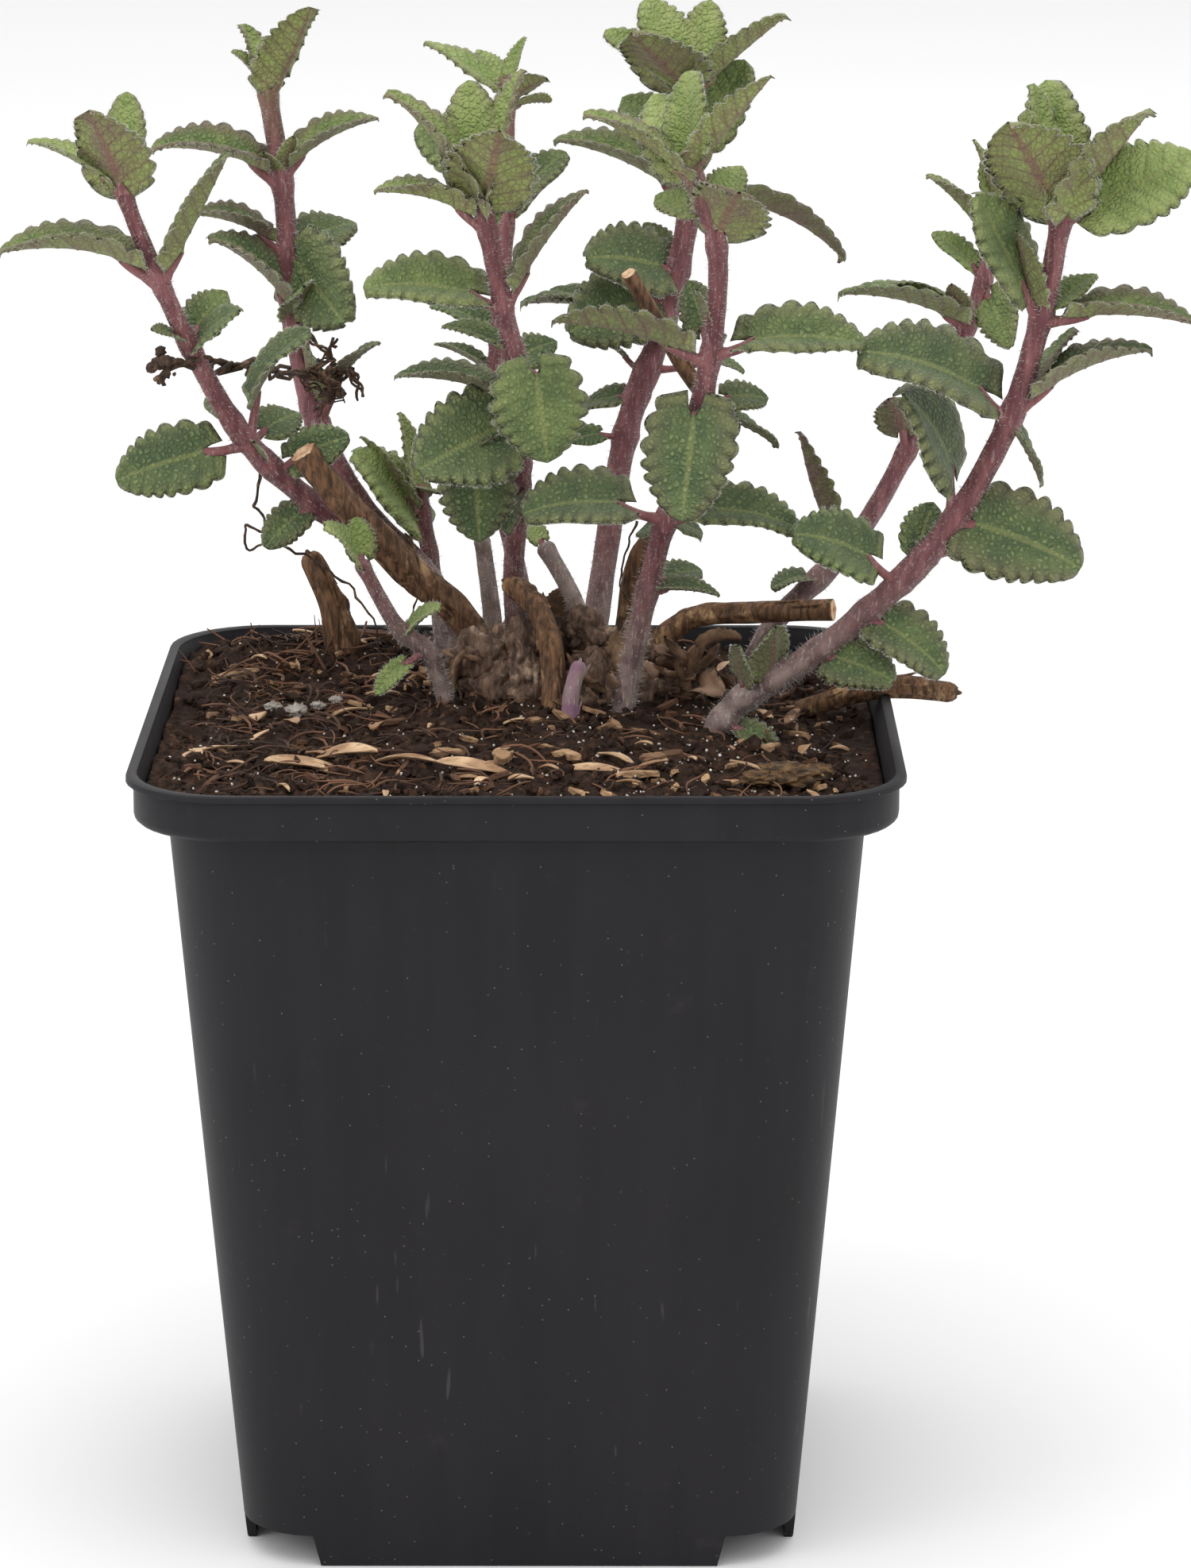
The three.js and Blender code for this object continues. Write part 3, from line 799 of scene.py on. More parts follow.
# ---- The stems ----
# Young catmint stems, square in section with rounded ribs, burgundy with white down,
# older and grey low down. They grow from the crown and thicken at every pair of leaves.
STEM_COLUMNS = 16
ROUND_END = [(0.35, 0.9), (0.65, 0.7), (0.85, 0.4), (0.9, 0)]


class Stem:
    """A smooth path through its points, in millimetres, with a radius at each end."""

    def __init__(self, points, root_radius, tip_radius, rows=90):
        ends = [points[0]] + list(points) + [points[-1]]
        knots = [Vector(point) for point in ends]
        self.places = []
        spans = len(points) - 1
        for row in range(rows + 1):
            share = row / rows * spans
            span = min(int(share), spans - 1)
            t = share - span
            a, b, c, d = knots[span:span + 4]
            self.places.append(0.5 * (
                2 * b + (c - a) * t + (2 * a - 5 * b + 4 * c - d) * t ** 2
                + (3 * b - a - 3 * c + d) * t ** 3))
        self.root_radius = root_radius
        self.tip_radius = tip_radius
        self.nodes = []

    def radius(self, place):
        low, high = self.places[0].z, self.places[-1].z
        share = min(1, max(0, (place.z - low) / (high - low)))
        radius = self.root_radius + (self.tip_radius - self.root_radius) * share
        swell = max([math.exp(-((place.z - height) / 1.1) ** 2) for height in self.nodes] + [0])
        return radius * (1 + 0.22 * swell)

    def place_at(self, height):
        """Where the stem is at a height, and which way it runs there."""
        nearest = min(range(len(self.places)), key=lambda i: abs(self.places[i].z - height))
        before = self.places[max(nearest - 1, 0)]
        after = self.places[min(nearest + 1, len(self.places) - 1)]
        return self.places[nearest], (after - before).normalized()

    def rings(self, columns, ribs=0.1, lumps=0.06, grain=0.5, furrows=1.5, end=ROUND_END):
        """Its skin, ring by ring. The end is a list of (how far on, how wide) in radii."""
        rings = []
        across = Vector((0.2, -1, 0.1))
        last = len(self.places) - 1
        stops = [(index, 0, 1) for index in range(last + 1)] + [(last, *stop) for stop in end]
        for index, on, wide in stops:
            before = self.places[max(index - 1, 0)]
            ahead = (self.places[min(index + 1, last)] - before).normalized()
            across = (across - ahead * across.dot(ahead)).normalized()
            other = ahead.cross(across)
            place = self.places[index]
            ring = []
            for column in range(columns + 1):
                turn = 2 * math.pi * (column % columns) / columns
                out = across * math.cos(turn) + other * math.sin(turn)
                reach = self.radius(place) * (1 + ribs * math.cos(4 * turn))
                reach *= 1 + lumps * noise.noise(place * grain + out * furrows)
                ring.append(tuple(place + ahead * on * self.tip_radius + out * reach * wide))
            rings.append(ring)
        return rings


# Each stem has its path from the root up and its radius at the root and at the tip, in
# millimetres, and a short one has how many rows of skin it needs.
STEMS = {
    "outer_left": Stem([
        (-4, 16, 95), (-10, 16, 108), (-17, 12, 115), (-25, 8, 121), (-33, 3, 130),
        (-39, -2, 142), (-44, -6, 155), (-46, -7, 161)], 1.45, 0.85),
    "left": Stem([
        (-7, 24, 93), (-11, 25, 107), (-20, 26, 117), (-26, 29, 128), (-29, 33, 142),
        (-30, 36, 155), (-32, 38, 168)], 1.5, 1.05),
    "centre": Stem([
        (0, 13, 96), (-1, 11, 111), (0, 3, 125), (0, -4, 138), (-2, -8, 149),
        (-4, -10, 160)], 1.25, 1.0),
    "slim": Stem([
        (2, 21, 96), (-1, 23, 111), (-4, 26, 126), (-3, 28, 139), (-2, 30, 155),
        (-2, 32, 169)], 1.15, 0.85),
    "tall": Stem([
        (8, 22, 95), (10, 28, 109), (13, 33, 126), (18, 36, 140), (21, 39, 155),
        (21, 41, 168)], 1.5, 1.25),
    "front": Stem([
        (12, 1, 94), (14, 0, 106), (17, -4, 120), (21, -9, 134), (23, -13, 147),
        (23, -15, 157), (20, -15, 165)], 1.3, 1.0),
    "right": Stem([
        (22, -4, 92), (26, -4, 99), (37, -6, 107), (49, -8, 119), (57, -10, 133),
        (61, -12, 147), (63, -14, 159)], 1.5, 1.1),
    "back_right": Stem([
        (27, 25, 92), (31, 25, 102), (41, 28, 112), (48, 32, 123), (56, 36, 139),
        (60, 40, 152)], 1.35, 0.9),
    "back_short": Stem([(-10, 28, 93), (-11, 28, 106), (-13, 28, 119)], 1.0, 0.7, 40),
    "low_left": Stem([(-8, 5, 93), (-11, 4, 103), (-15, 3, 107), (-19, 1, 115)], 1.1, 0.75, 50),
    "grey_back": Stem([(-3, 20, 96), (-4, 20, 106), (-5, 20, 114)], 1.2, 0.9, 40),
    "grey_middle": Stem([(9, 10, 95), (7, 10, 107), (3, 11, 115)], 1.25, 0.9, 40),
}

# Leaves, stem by stem. A row is: height on the stem, heading (0 is right, 90 is away,
# 180 is left), rise of the stalk above level, stalk length, blade length, width over
# length, roll about its own length, fold of each half up from flat, and curl from base
# to tip. A hanging leaf has one more: how far its blade bends down where it joins the
# stalk. Lengths are in millimetres and angles in degrees.
LEAVES = {
    "outer_left": [
        (161, 235, 65, 1.5, 10, 0.85, 20, 25, 10),
        (161, 165, 40, 3, 10, 0.5, 0, 35, 35),
        (161, 95, 70, 1.5, 10.5, 0.5, -10, 35, 10),
        (150, 185, 35, 5, 14.5, 0.62, -5, 45, 60),
        (150, 0, 60, 4, 13, 0.6, -5, 45, -5),
        (151, 205, 35, 0.5, 2, 0.6, 0, 20, 10),
        (150, 60, 75, 0.5, 3, 0.5, 0, 20, 10),
        (142, 325, 45, 1.5, 7, 0.75, 45, 20, 20),
        (143, 220, 30, 1, 4, 0.7, -20, 25, 20),
        (143, 50, 45, 2, 6, 0.8, 40, 15, 20),
        (130, 195, -10, 5, 11, 0.72, -60, 12, 10),
        (130, 345, 80, 6, 10, 0.7, 25, 30, 60),
        (130, 50, 20, 3, 6, 0.8, 35, 15, 20),
        (132, 130, 30, 1, 4.5, 0.6, -20, 20, 20),
        (126, 355, 30, 2.5, 7, 0.75, 60, 15, 15),
        (127, 260, 45, 0.5, 3.5, 0.7, -40, 15, 15),
        (121, 210, -30, 1.5, 6, 0.75, -45, 20, 20),
    ],
    "left": [
        (167, 330, 55, 2, 10.5, 0.75, -10, 45, -15),
        (167, 120, 45, 2, 8, 0.8, 30, 45, -20),
        (168, 155, 50, 1, 5, 0.5, -10, 40, 20),
        (156, 185, 40, 4.5, 12.5, 0.62, -8, 45, 60),
        (157, 10, 50, 3.5, 10.5, 0.62, 10, 45, 50),
        (157, 225, 55, 0.5, 3.5, 0.6, 0, 30, 10),
        (157, 310, 70, 0.5, 5, 0.5, 0, 30, 10),
        (147, 190, 45, 4, 9, 0.7, 0, 45, 55),
        (148, 310, -35, 1.5, 11.5, 0.85, 75, 10, 0),
        (148, 40, 20, 2, 8.5, 0.75, 30, 20, 20),
        (138, 200, 70, 5, 11.5, 0.75, -15, 40, 60),
        (140, 285, 45, 0.5, 7, 0.7, 30, 20, 20),
        (127, 350, 65, 6, 7, 0.75, -5, 30, 45),
        (129, 240, 90, 2, 6.5, 0.8, -20, 20, 30),
    ],
    "centre": [
        (160, 290, 55, 1.5, 10, 0.95, -25, 20, 0),
        (160, 180, 60, 1.5, 15.5, 0.5, -5, 40, 20),
        (160, 115, 70, 3, 11.5, 0.6, -40, 25, 0),
        (160, 30, 75, 2, 14, 0.5, -5, 35, 5),
        (160, 125, 60, 2, 10.5, 0.6, -20, 25, 10),
        (157, 185, 40, 4, 10, 0.65, 5, 45, 55),
        (157, 65, 65, 1, 5.5, 0.5, 10, 30, 10),
        (148, 190, 25, 4, 12.5, 0.68, -25, 30, 40),
        (148, 0, 60, 4.5, 12, 0.58, 5, 45, 15),
        (141, 305, -15, 4, 10.5, 0.98, 10, 8, 10, 60),
        (134, 210, -20, 2.5, 12, 0.9, -60, 25, 0),
        (132, 195, -20, 2, 8, 0.9, 15, 25, 20),
        (136, 170, 20, 4, 11, 0.6, -5, 40, 30),
        (127, 205, 5, 5, 9.5, 0.85, -65, 14, 10, 90),
        (124, 245, -45, 1, 5, 0.8, 20, 25, 20),
        (142, 165, 30, 2, 7, 0.65, -5, 35, 30),
    ],
    "slim": [
        (168, 185, 35, 1.5, 10, 0.6, -20, 25, 5),
        (169, 140, 40, 1, 5, 0.6, -30, 20, 5),
        (169, 45, 65, 1, 5, 0.5, 0, 35, 5),
        (167, 320, 40, 1.5, 5.5, 0.75, -20, 35, 30),
        (166, 40, 15, 1.5, 5, 0.6, -20, 30, 30),
        (155, 170, 45, 3, 11, 0.8, -35, 20, 10),
        (152, 5, 60, 2.5, 8.5, 0.75, 30, 25, 30),
        (138, 160, 35, 2, 7.5, 0.6, -20, 30, 30),
        (134, 165, 35, 2, 6, 0.6, 0, 35, 30),
        (134, 20, 30, 2.5, 6, 0.8, 40, 15, 20),
        (129, 250, 50, 1.5, 7.5, 0.7, -45, 20, 10),
    ],
    "tall": [
        (168, 160, 60, 2, 9.5, 0.75, -45, 15, 0),
        (167, 160, 40, 2, 11, 0.5, -25, 25, 20),
        (167, 220, 40, 2, 10, 0.95, 25, 18, 0),
        (167, 355, 40, 2, 12.5, 0.75, -5, 40, 0),
        (168, 60, 65, 1.5, 9, 0.65, 35, 20, 0),
        (160, 35, 55, 2, 10.5, 0.7, 40, 20, 0),
        (161, 150, 25, 2, 9, 0.8, -30, 20, 0),
        (153, 185, 50, 4, 15, 0.55, -8, 45, 55),
        (153, 5, 10, 6, 15.5, 0.55, -10, 40, 75),
        (145, 210, 20, 2, 11, 0.8, -50, 20, 20),
        (145, 135, 50, 1.5, 6, 0.6, -30, 20, 20),
        (142, 205, 0, 2, 12, 0.8, -55, 15, 30),
        (138, 165, 30, 3, 15.5, 0.6, -10, 35, 50),
        (138, 160, 25, 2, 13, 0.7, -20, 25, 20),
        (133, 350, 10, 7, 5, 0.6, 5, 30, 50),
        (132, 155, 40, 3, 2.5, 0.4, 0, 20, 20),
        (130, 165, -10, 2, 5.5, 0.8, -30, 20, 20),
        (125, 205, 5, 3, 4, 0.75, -35, 20, 30),
    ],
    "front": [
        (165, 100, 75, 2, 9, 0.78, -60, 22, 5),
        (164, 185, 40, 2, 12.5, 0.5, -5, 40, 20),
        (165, 345, 50, 2, 12, 0.55, -5, 45, 0),
        (164, 125, 45, 2, 10, 0.7, -45, 20, 0),
        (160, 145, 10, 1.5, 5.5, 0.8, -40, 20, 0),
        (161, 50, 30, 1.5, 6, 0.7, 35, 20, 0),
        (156, 290, 60, 2.5, 7.5, 1.2, -35, 30, 35),
        (142, 190, 25, 5, 14, 0.6, 15, 42, 25),
        (143, 350, 20, 5, 13, 0.62, 30, 35, 40),
        (143, 215, 80, 2.5, 5, 0.65, -20, 25, 10),
        (143, 35, 50, 0.5, 2, 0.6, 20, 25, 10),
        (143, 120, 60, 3, 6, 0.7, -40, 20, 10),
        (137, 20, 10, 3, 5, 0.85, 45, 15, 30),
        (136, 30, -15, 3, 8.5, 0.6, 10, 30, 30),
        (136, 255, 0, 2.5, 12.5, 0.8, 0, 20, 10, 68),
        (122, 195, 20, 6, 11.5, 0.75, -30, 30, 45),
        (122, 350, 15, 5, 11, 0.65, 30, 30, 50),
        (122, 45, -20, 1.5, 5, 0.8, 40, 20, 10),
        (121, 135, -15, 1, 3.5, 0.8, -40, 20, 10),
        (112, 345, 15, 2, 6.5, 0.55, 10, 35, 40),
        (113, 40, 10, 2, 6, 0.7, 20, 25, 20),
    ],
    "right": [
        (159, 350, 55, 2, 14, 0.85, -8, 35, 5),
        (159, 10, 25, 4, 13, 0.75, 50, 15, 0),
        (159, 215, 60, 2, 12, 0.95, 28, 20, 10),
        (159, 110, 70, 2.5, 13.5, 0.7, -40, 20, 0),
        (159, 150, 75, 2, 13.5, 0.4, -10, 30, 0),
        (147, 205, 60, 5, 12, 0.85, -55, 22, 0),
        (147, 215, 70, 2.5, 8.5, 0.55, -10, 35, 0),
        (147, 355, 10, 5, 13, 0.6, 0, 45, 30),
        (148, 20, 35, 1.5, 6, 0.7, 20, 25, 10),
        (136, 355, 40, 5, 12.5, 0.62, 5, 45, 40),
        (136, 30, 50, 3, 9, 0.6, -20, 20, 5),
        (135, 195, 45, 5, 15.5, 0.7, -35, 28, 50),
        (123, 210, 85, 6, 11.5, 1.1, -50, 15, 60),
        (123, 345, -10, 2, 13.5, 0.75, 60, 18, 20),
        (118, 10, 15, 5, 6, 0.7, -5, 20, 40),
        (135, 40, -50, 1.5, 8, 0.7, 35, 25, 20),
        (115, 200, 40, 5, 10, 0.8, -55, 18, 40),
        (116, 55, 65, 2, 6, 0.8, 40, 20, 20),
        (111, 340, -20, 2, 9.5, 0.75, 45, 25, 30),
        (106, 330, -5, 2, 8, 0.8, 45, 15, 20),
        (102, 275, 75, 1, 6.5, 0.9, 40, 20, 20),
        (100, 250, 70, 2, 5, 0.95, -45, 10, 10),
        (97, 325, -10, 2.5, 5.5, 0.6, 30, 35, 30),
    ],
    "back_right": [
        (152, 210, 70, 1, 9, 0.5, -20, 30, 10),
        (152, 130, 75, 1, 7, 0.6, -30, 30, 10),
        (148, 185, 55, 2, 10, 0.6, 0, 40, 20),
        (144, 155, 45, 2, 6.5, 0.6, -20, 25, 20),
        (138, 190, 35, 3, 14, 0.65, 0, 35, 45),
        (139, 170, 35, 3, 7.5, 0.7, 5, 35, 30),
        (138, 235, 55, 1.5, 5.5, 0.55, 20, 20, 0),
        (143, 295, -35, 2, 7.5, 0.7, 50, 20, 20),
        (123, 240, 70, 3, 6, 0.9, 25, 20, 45),
        (111, 190, 65, 3, 13, 0.5, 5, 40, -15),
        (108, 215, 10, 2, 5, 0.7, -15, 30, 40),
        (125, 30, -50, 2, 5.5, 0.5, 0, 20, 20),
    ],
    "back_short": [
        (116, 155, 75, 3, 9.5, 0.5, -5, 35, -5),
        (116, 180, 55, 2.5, 9.5, 0.45, 0, 40, 10),
        (119, 320, 5, 0.5, 2.5, 1.2, -10, 20, 10),
        (111, 195, 65, 4, 12, 0.8, -30, 25, 30),
    ],
    "low_left": [
        (115, 215, 55, 1, 6.5, 0.8, -40, 25, 20),
        (115, 130, 80, 1, 4.5, 0.8, -20, 25, 10),
        (106, 325, 45, 1, 5.5, 0.6, 35, 30, 20),
        (104, 210, -30, 3, 5, 0.5, -40, 25, 20),
    ],
    "grey_back": [
        (115, 235, 65, 1, 3.5, 0.7, -30, 20, 20),
    ],
    "grey_middle": [
        (115, 130, 40, 1, 3.5, 0.7, -30, 20, 20),
    ],
}
for stem_name, rows in LEAVES.items():
    STEMS[stem_name].nodes = sorted({row[0] for row in rows})


def stem_finish(name, young, old, grey_from, grey_to):
    """Downy stem skin: ribbed, streaked, redder above and greyer towards the root."""
    skin_finish = Finish(name, roughness=0.65, sheen_weight=0.15, sheen_roughness=0.5)
    place = skin_finish.object_place()
    height = skin_finish.part_of(place, "Z")
    streak = skin_finish.noise(skin_finish.mapped(place, (900, 900, 90)), 1, 4)
    mottled = skin_finish.noise(place, 420, 4)
    red = skin_finish.blend(skin_finish.fade(streak, 0.35, 0.7), young, colour(134, 82, 84))
    grey = skin_finish.blend(skin_finish.fade(mottled, 0.3, 0.7), old, colour(150, 132, 124))
    age = 1 - skin_finish.fade(height + 0.012 * mottled, grey_from * MM, grey_to * MM)
    fresh = skin_finish.fade(height + 0.01 * mottled, 163 * MM, 176 * MM)
    greened = skin_finish.blend(fresh * 0.6, red, colour(120, 112, 72))
    downy = skin_finish.noise(skin_finish.mapped(place, (2600, 2600, 420)), 1, 3, 0.6)
    bare = skin_finish.blend(age, greened, grey)
    skin_finish.feed("Base Color", skin_finish.blend(
        skin_finish.fade(downy, 0.56, 0.7) * (0.3 + 0.35 * age), bare, colour(196, 178, 172)))
    down = skin_finish.noise(skin_finish.mapped(place, (2200, 2200, 500)), 1, 4, 0.7)
    skin_finish.relief(down, 0.22, 0.8)
    return skin_finish


burgundy = stem_finish("burgundy_stem", colour(92, 44, 50), colour(88, 68, 66), 104, 126)
grey_skin = stem_finish("grey_stem", colour(128, 104, 100), colour(104, 86, 80), 120, 150)

DOWN_PER_MM = 34
hair_roots = {}
for stem_name, stem in STEMS.items():
    stem_mesh = bmesh.new()
    rings = stem.rings(STEM_COLUMNS)
    skin(stem_mesh, rings)
    grey = stem_name.startswith("grey")
    shown = piece("shoot_" + stem_name, stem_mesh, [grey_skin if grey else burgundy])
    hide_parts("stem_" + stem_name)
    # Down grows all over the stem, standing out and a little upwards.
    roots = []
    for index in range(1, len(stem.places) - 1):
        middle = stem.places[index]
        run = stem.places[index + 1] - middle
        count = round(DOWN_PER_MM * run.length)
        run.normalize()
        for _ in range(count):
            column = random.randrange(STEM_COLUMNS)
            root = Vector(rings[index][column]) + run * random.uniform(0, 0.8)
            out = (Vector(rings[index][column]) - middle).normalized()
            lean = out + run * random.uniform(-0.3, 0.5)
            lean = lean + out.cross(run) * random.uniform(-0.4, 0.4)
            roots.append((root, lean.normalized(), random.uniform(0.35, 1.0)))
    hair_roots["shoot_" + stem_name] = roots

# ---- The leaves ----
# Thick soft blades, heart-shaped and round-toothed, quilted between sunken veins, green
# and grey-green above, paler with purple veins below, on downy reddish stalks.
BLADE_THICK = 0.42
TEETH = 6
TOOTH_DEPTH = 0.24
VEIN_SLANT = 0.42
VEIN_BOW = 0.06
WIDEN = 1.18
# Shares of the blade's length or width.
LOBE_BACK = 0.36
QUILT = 0.042
MIDRIB_SUNK = 0.02
EDGE_ROLLED = 0.11
EDGE_WAVE = 0.03
# Millimetres under the blade.
KEEL_TALL = 0.3
RIB_TALL = 0.14


def blade_rings(row, stem, rows, columns, seed):
    """A leaf as one closed skin, from its stalk's root to its tip.

    Returns its rings in millimetres, for each place across (-1 to 1), along (0 to 1, below 0
    on the stalk) and a number that is the leaf's own, and how many rings are on the stalk.
    """
    height, heading, rise, stalk, blade, ratio, roll, fold, curl = row[:9]
    heading, rise, roll, fold, curl = (
        math.radians(angle) for angle in (heading, rise, roll, fold, curl))
    # Part of the bend is where the blade joins its stalk.
    drop = math.radians(row[9]) if len(row) > 9 else 0.4 * max(0, curl - 0.35)
    curl -= 0 if len(row) > 9 else 1.75 * drop
    root, run = stem.place_at(height)
    start = 0.4 * stem.radius(root)
    out = np.array([math.cos(heading), math.sin(heading), 0])
    up = np.array([0, 0, 1.0])
    own = random.Random(seed)
    wobble, lean, twist = own.uniform(0, 6.3), own.uniform(-1, 1), own.uniform(-0.25, 0.25)
    width = blade * ratio * WIDEN
    stalk_rows = max(3, rows // 8)
    along = np.concatenate([
        np.linspace(-1, 0, stalk_rows + 1)[:-1], np.linspace(0, 1, rows - stalk_rows + 1) ** 0.9])
    half = columns // 2
    top_across = np.linspace(-1, 1, half + 1)
    across = np.concatenate([top_across, top_across[::-1][1:]])
    below = np.concatenate([np.zeros(half + 1), np.ones(half)])
    below[-1] = 0
    v, u = np.meshgrid(along, across, indexing="ij")
    v_blade = np.clip(v, 0, 1)
    edge = np.abs(u)
    # Outline: heart-shaped base, widest at a third, blunt tip, with round teeth.
    swell = np.sin(np.pi * v_blade ** 0.64) ** 0.58
    vein = TEETH * (v_blade + VEIN_BOW * edge - VEIN_SLANT * edge * (1 - v_blade) ** 0.5)
    pleat = np.abs(np.sin(np.pi * vein)) ** 0.55
    teeth = 1 - TOOTH_DEPTH * (1 - pleat) * edge ** 5 * np.clip(8 * (1 - v_blade), 0.3, 1)
    stalk_radius = 0.34 + 0.026 * blade
    half_width = 0.5 * width * swell * teeth
    side = u * np.maximum(half_width, stalk_radius * (1 - 0.75 * v_blade))
    lobe = edge ** 1.5 * np.clip(1 - v_blade * 2.1, 0, 1) ** 1.5 * swell ** 0.3
    forward = blade * (v_blade - LOBE_BACK * lobe)
    # Quilting between the veins, a keel along the midrib and an edge rolled under.
    fade_in = np.clip(v_blade * 6, 0, 1)
    thinning = 1 - 0.3 * v_blade
    lift = QUILT * blade * (pleat - 0.65) * (0.08 + 0.92 * edge ** 2) * fade_in * thinning
    lift += -MIDRIB_SUNK * blade * np.exp(-(edge / 0.09) ** 2) * fade_in * (1 - v_blade)
    lift += -EDGE_ROLLED * width * edge ** 5 * fade_in
    lift += EDGE_WAVE * width * np.sin(2.2 * np.pi * v_blade + wobble) * u
    thick = BLADE_THICK * (0.35 + 0.65 * np.sqrt(np.clip(1 - edge ** 2, 0, 1))) * thinning
    keel = KEEL_TALL * (1 - 0.6 * v_blade) * np.exp(-(edge / 0.1) ** 2)
    rib = RIB_TALL * np.clip(1 - pleat * 2.2, 0, 1) * (1 - edge) ** 0.3
    lift += np.where(below, -thick - keel - rib, 0) * np.clip(v_blade * 12, 0, 1)
    # The round stalk below the blade.
    turn = np.pi * (1 - (u + 1) / 2)
    on_stalk = 1 - np.clip(v_blade * 12, 0, 1)
    flare = stalk_radius * (1 + 0.5 * np.clip(-v * 3 - 2, 0, 1))
    round_side = flare * np.cos(turn)
    round_lift = flare * np.sin(turn) * np.where(below, -1, 0.75) - 0.15
    side = side * (1 - on_stalk) + round_side * on_stalk
    # Fold each half up, then bend the leaf along its length and roll it.
    folded = fold * (1 - on_stalk)
    rounding = np.sqrt(edge ** 2 + 0.02) - math.sqrt(0.02)
    outward = lift * np.sin(folded) * np.sign(u) * np.clip(edge * 5, 0, 1)
    flat_side = side * np.cos(folded) - outward
    raised = np.abs(side) / np.maximum(edge, 1e-3) * rounding * np.sin(folded)
    flat_lift = raised + lift * np.cos(folded)
    flat_lift = flat_lift * (1 - on_stalk) + round_lift * on_stalk
    angle = rise - (drop * np.clip(v + 0.2, 0, 0.2) * 5 + curl * v_blade)
    bent_run = rise - drop - curl * np.clip(forward / blade, -0.3, 1) / 2
    stalk_along = start + stalk * (np.clip(v, -1, 0) + 1)
    sag = 0.05 * stalk * np.sin(np.pi * (np.clip(v, -1, 0) + 1))
    reach = stalk_along * math.cos(rise) + forward * np.cos(bent_run)
    climb = stalk_along * math.sin(rise) + forward * np.sin(bent_run) - sag
    roll_here = roll * np.clip(v + 1, 0, 1) + twist * v_blade
    side_axis = np.array([-out[1], out[0], 0])
    face_axis = -np.sin(angle)[..., None] * out + np.cos(angle)[..., None] * up
    turned_side = flat_side * np.cos(roll_here) - flat_lift * np.sin(roll_here)
    turned_lift = flat_side * np.sin(roll_here) + flat_lift * np.cos(roll_here)
    places = np.array(root) + reach[..., None] * out + climb[..., None] * up
    places = places + turned_side[..., None] * side_axis + turned_lift[..., None] * face_axis
    places = places + lean * 0.05 * blade * (v_blade ** 2)[..., None] * side_axis
    marks = np.stack([u, v, np.full_like(u, own.random())], -1)
    return places, marks, stalk_rows


def side_veins(finish, place, along, across, wander):
    bent = wander * (finish.noise(place, 160, 2) - 0.5)
    slanted = VEIN_SLANT * across * (1 - along) ** 0.5
    return finish.size_of(finish.wave(
        math.pi * TEETH * (along + bent + VEIN_BOW * across - slanted)))


def leaf_top(name):
    top = Finish(name, roughness=0.6, sheen_weight=0.08, sheen_roughness=0.6)
    spot = top.attribute("leaf_spot")
    life = top.attribute("leaf_life")
    across = top.size_of(top.part_of(spot, "X"))
    along = top.part_of(spot, "Y")
    own = top.part_of(spot, "Z")
    youth = top.part_of(life, "X")
    blush = top.part_of(life, "Y")
    place = top.object_place()
    veins = side_veins(top, place, along, across, 0.05)
    net = top.cells(place, 1500, "DISTANCE_TO_EDGE")
    fuzz = top.noise(place, 2400, 4, 0.7)
    soft = top.noise(place, 260, 3)
    sunk_vein_shade = (1 - top.fade(veins, 0.08, 0.5)) * (1 - 0.3 * across)
    midrib = 1 - top.fade(across, 0.03, 0.1)
    old_green = top.blend(top.fade(soft, 0.35, 0.65), colour(62, 82, 44), colour(88, 104, 58))
    middle_green = top.blend(top.fade(soft, 0.35, 0.65), colour(80, 100, 48), colour(110, 126, 66))
    young_green = top.blend(top.fade(soft, 0.35, 0.65), colour(120, 140, 70), colour(150, 164, 96))
    aged = top.blend(top.fade(youth + 0.15 * (own - 0.5), 0.1, 0.45), old_green, middle_green)
    green = top.blend(top.fade(youth + 0.15 * (own - 0.5), 0.5, 0.9), aged, young_green)
    # Painted highlights: the raised bumps between the small veins, and the lobes between the side
    # veins near the edge, are mixed paler green, as if catching the light.
    bump_highlight = top.fade(net, 0.05, 0.4)
    lit = top.blend(bump_highlight * top.fade(fuzz, 0.35, 0.6) * 0.4, green, colour(150, 168, 104))
    lobes = top.fade(across, 0.6, 0.95) * top.fade(veins, 0.3, 0.8)
    lit = top.blend(lobes * 0.5, lit, colour(146, 158, 92))
    # Painted shade: the sunken side veins are mixed darker green, as if lying in shadow. The paler
    # midrib after it is the leaf's own colour.
    shaded_and_ribbed = top.blend(sunk_vein_shade * 0.28, lit, colour(60, 74, 34))
    shaded_and_ribbed = top.blend(midrib * 0.45, shaded_and_ribbed, colour(138, 144, 84))
    blushed = top.blend(
        blush * top.fade(across + 0.3 * soft, 0.5, 1.1) * 0.8, shaded_and_ribbed, colour(104, 74, 70))
    downy = top.blend(top.fade(fuzz, 0.6, 0.74) * 0.3, blushed, colour(186, 196, 160))
    edged = top.blend(top.fade(across, 0.93, 0.995) * 0.5, downy, colour(190, 196, 158))
    top.feed("Base Color", edged)
    top.relief(
        fuzz * 0.3 + top.fade(net, 0.0, 0.3) * 0.5 + top.fade(veins, 0.0, 0.5) * 0.2, 0.35, 0.9)
    return top


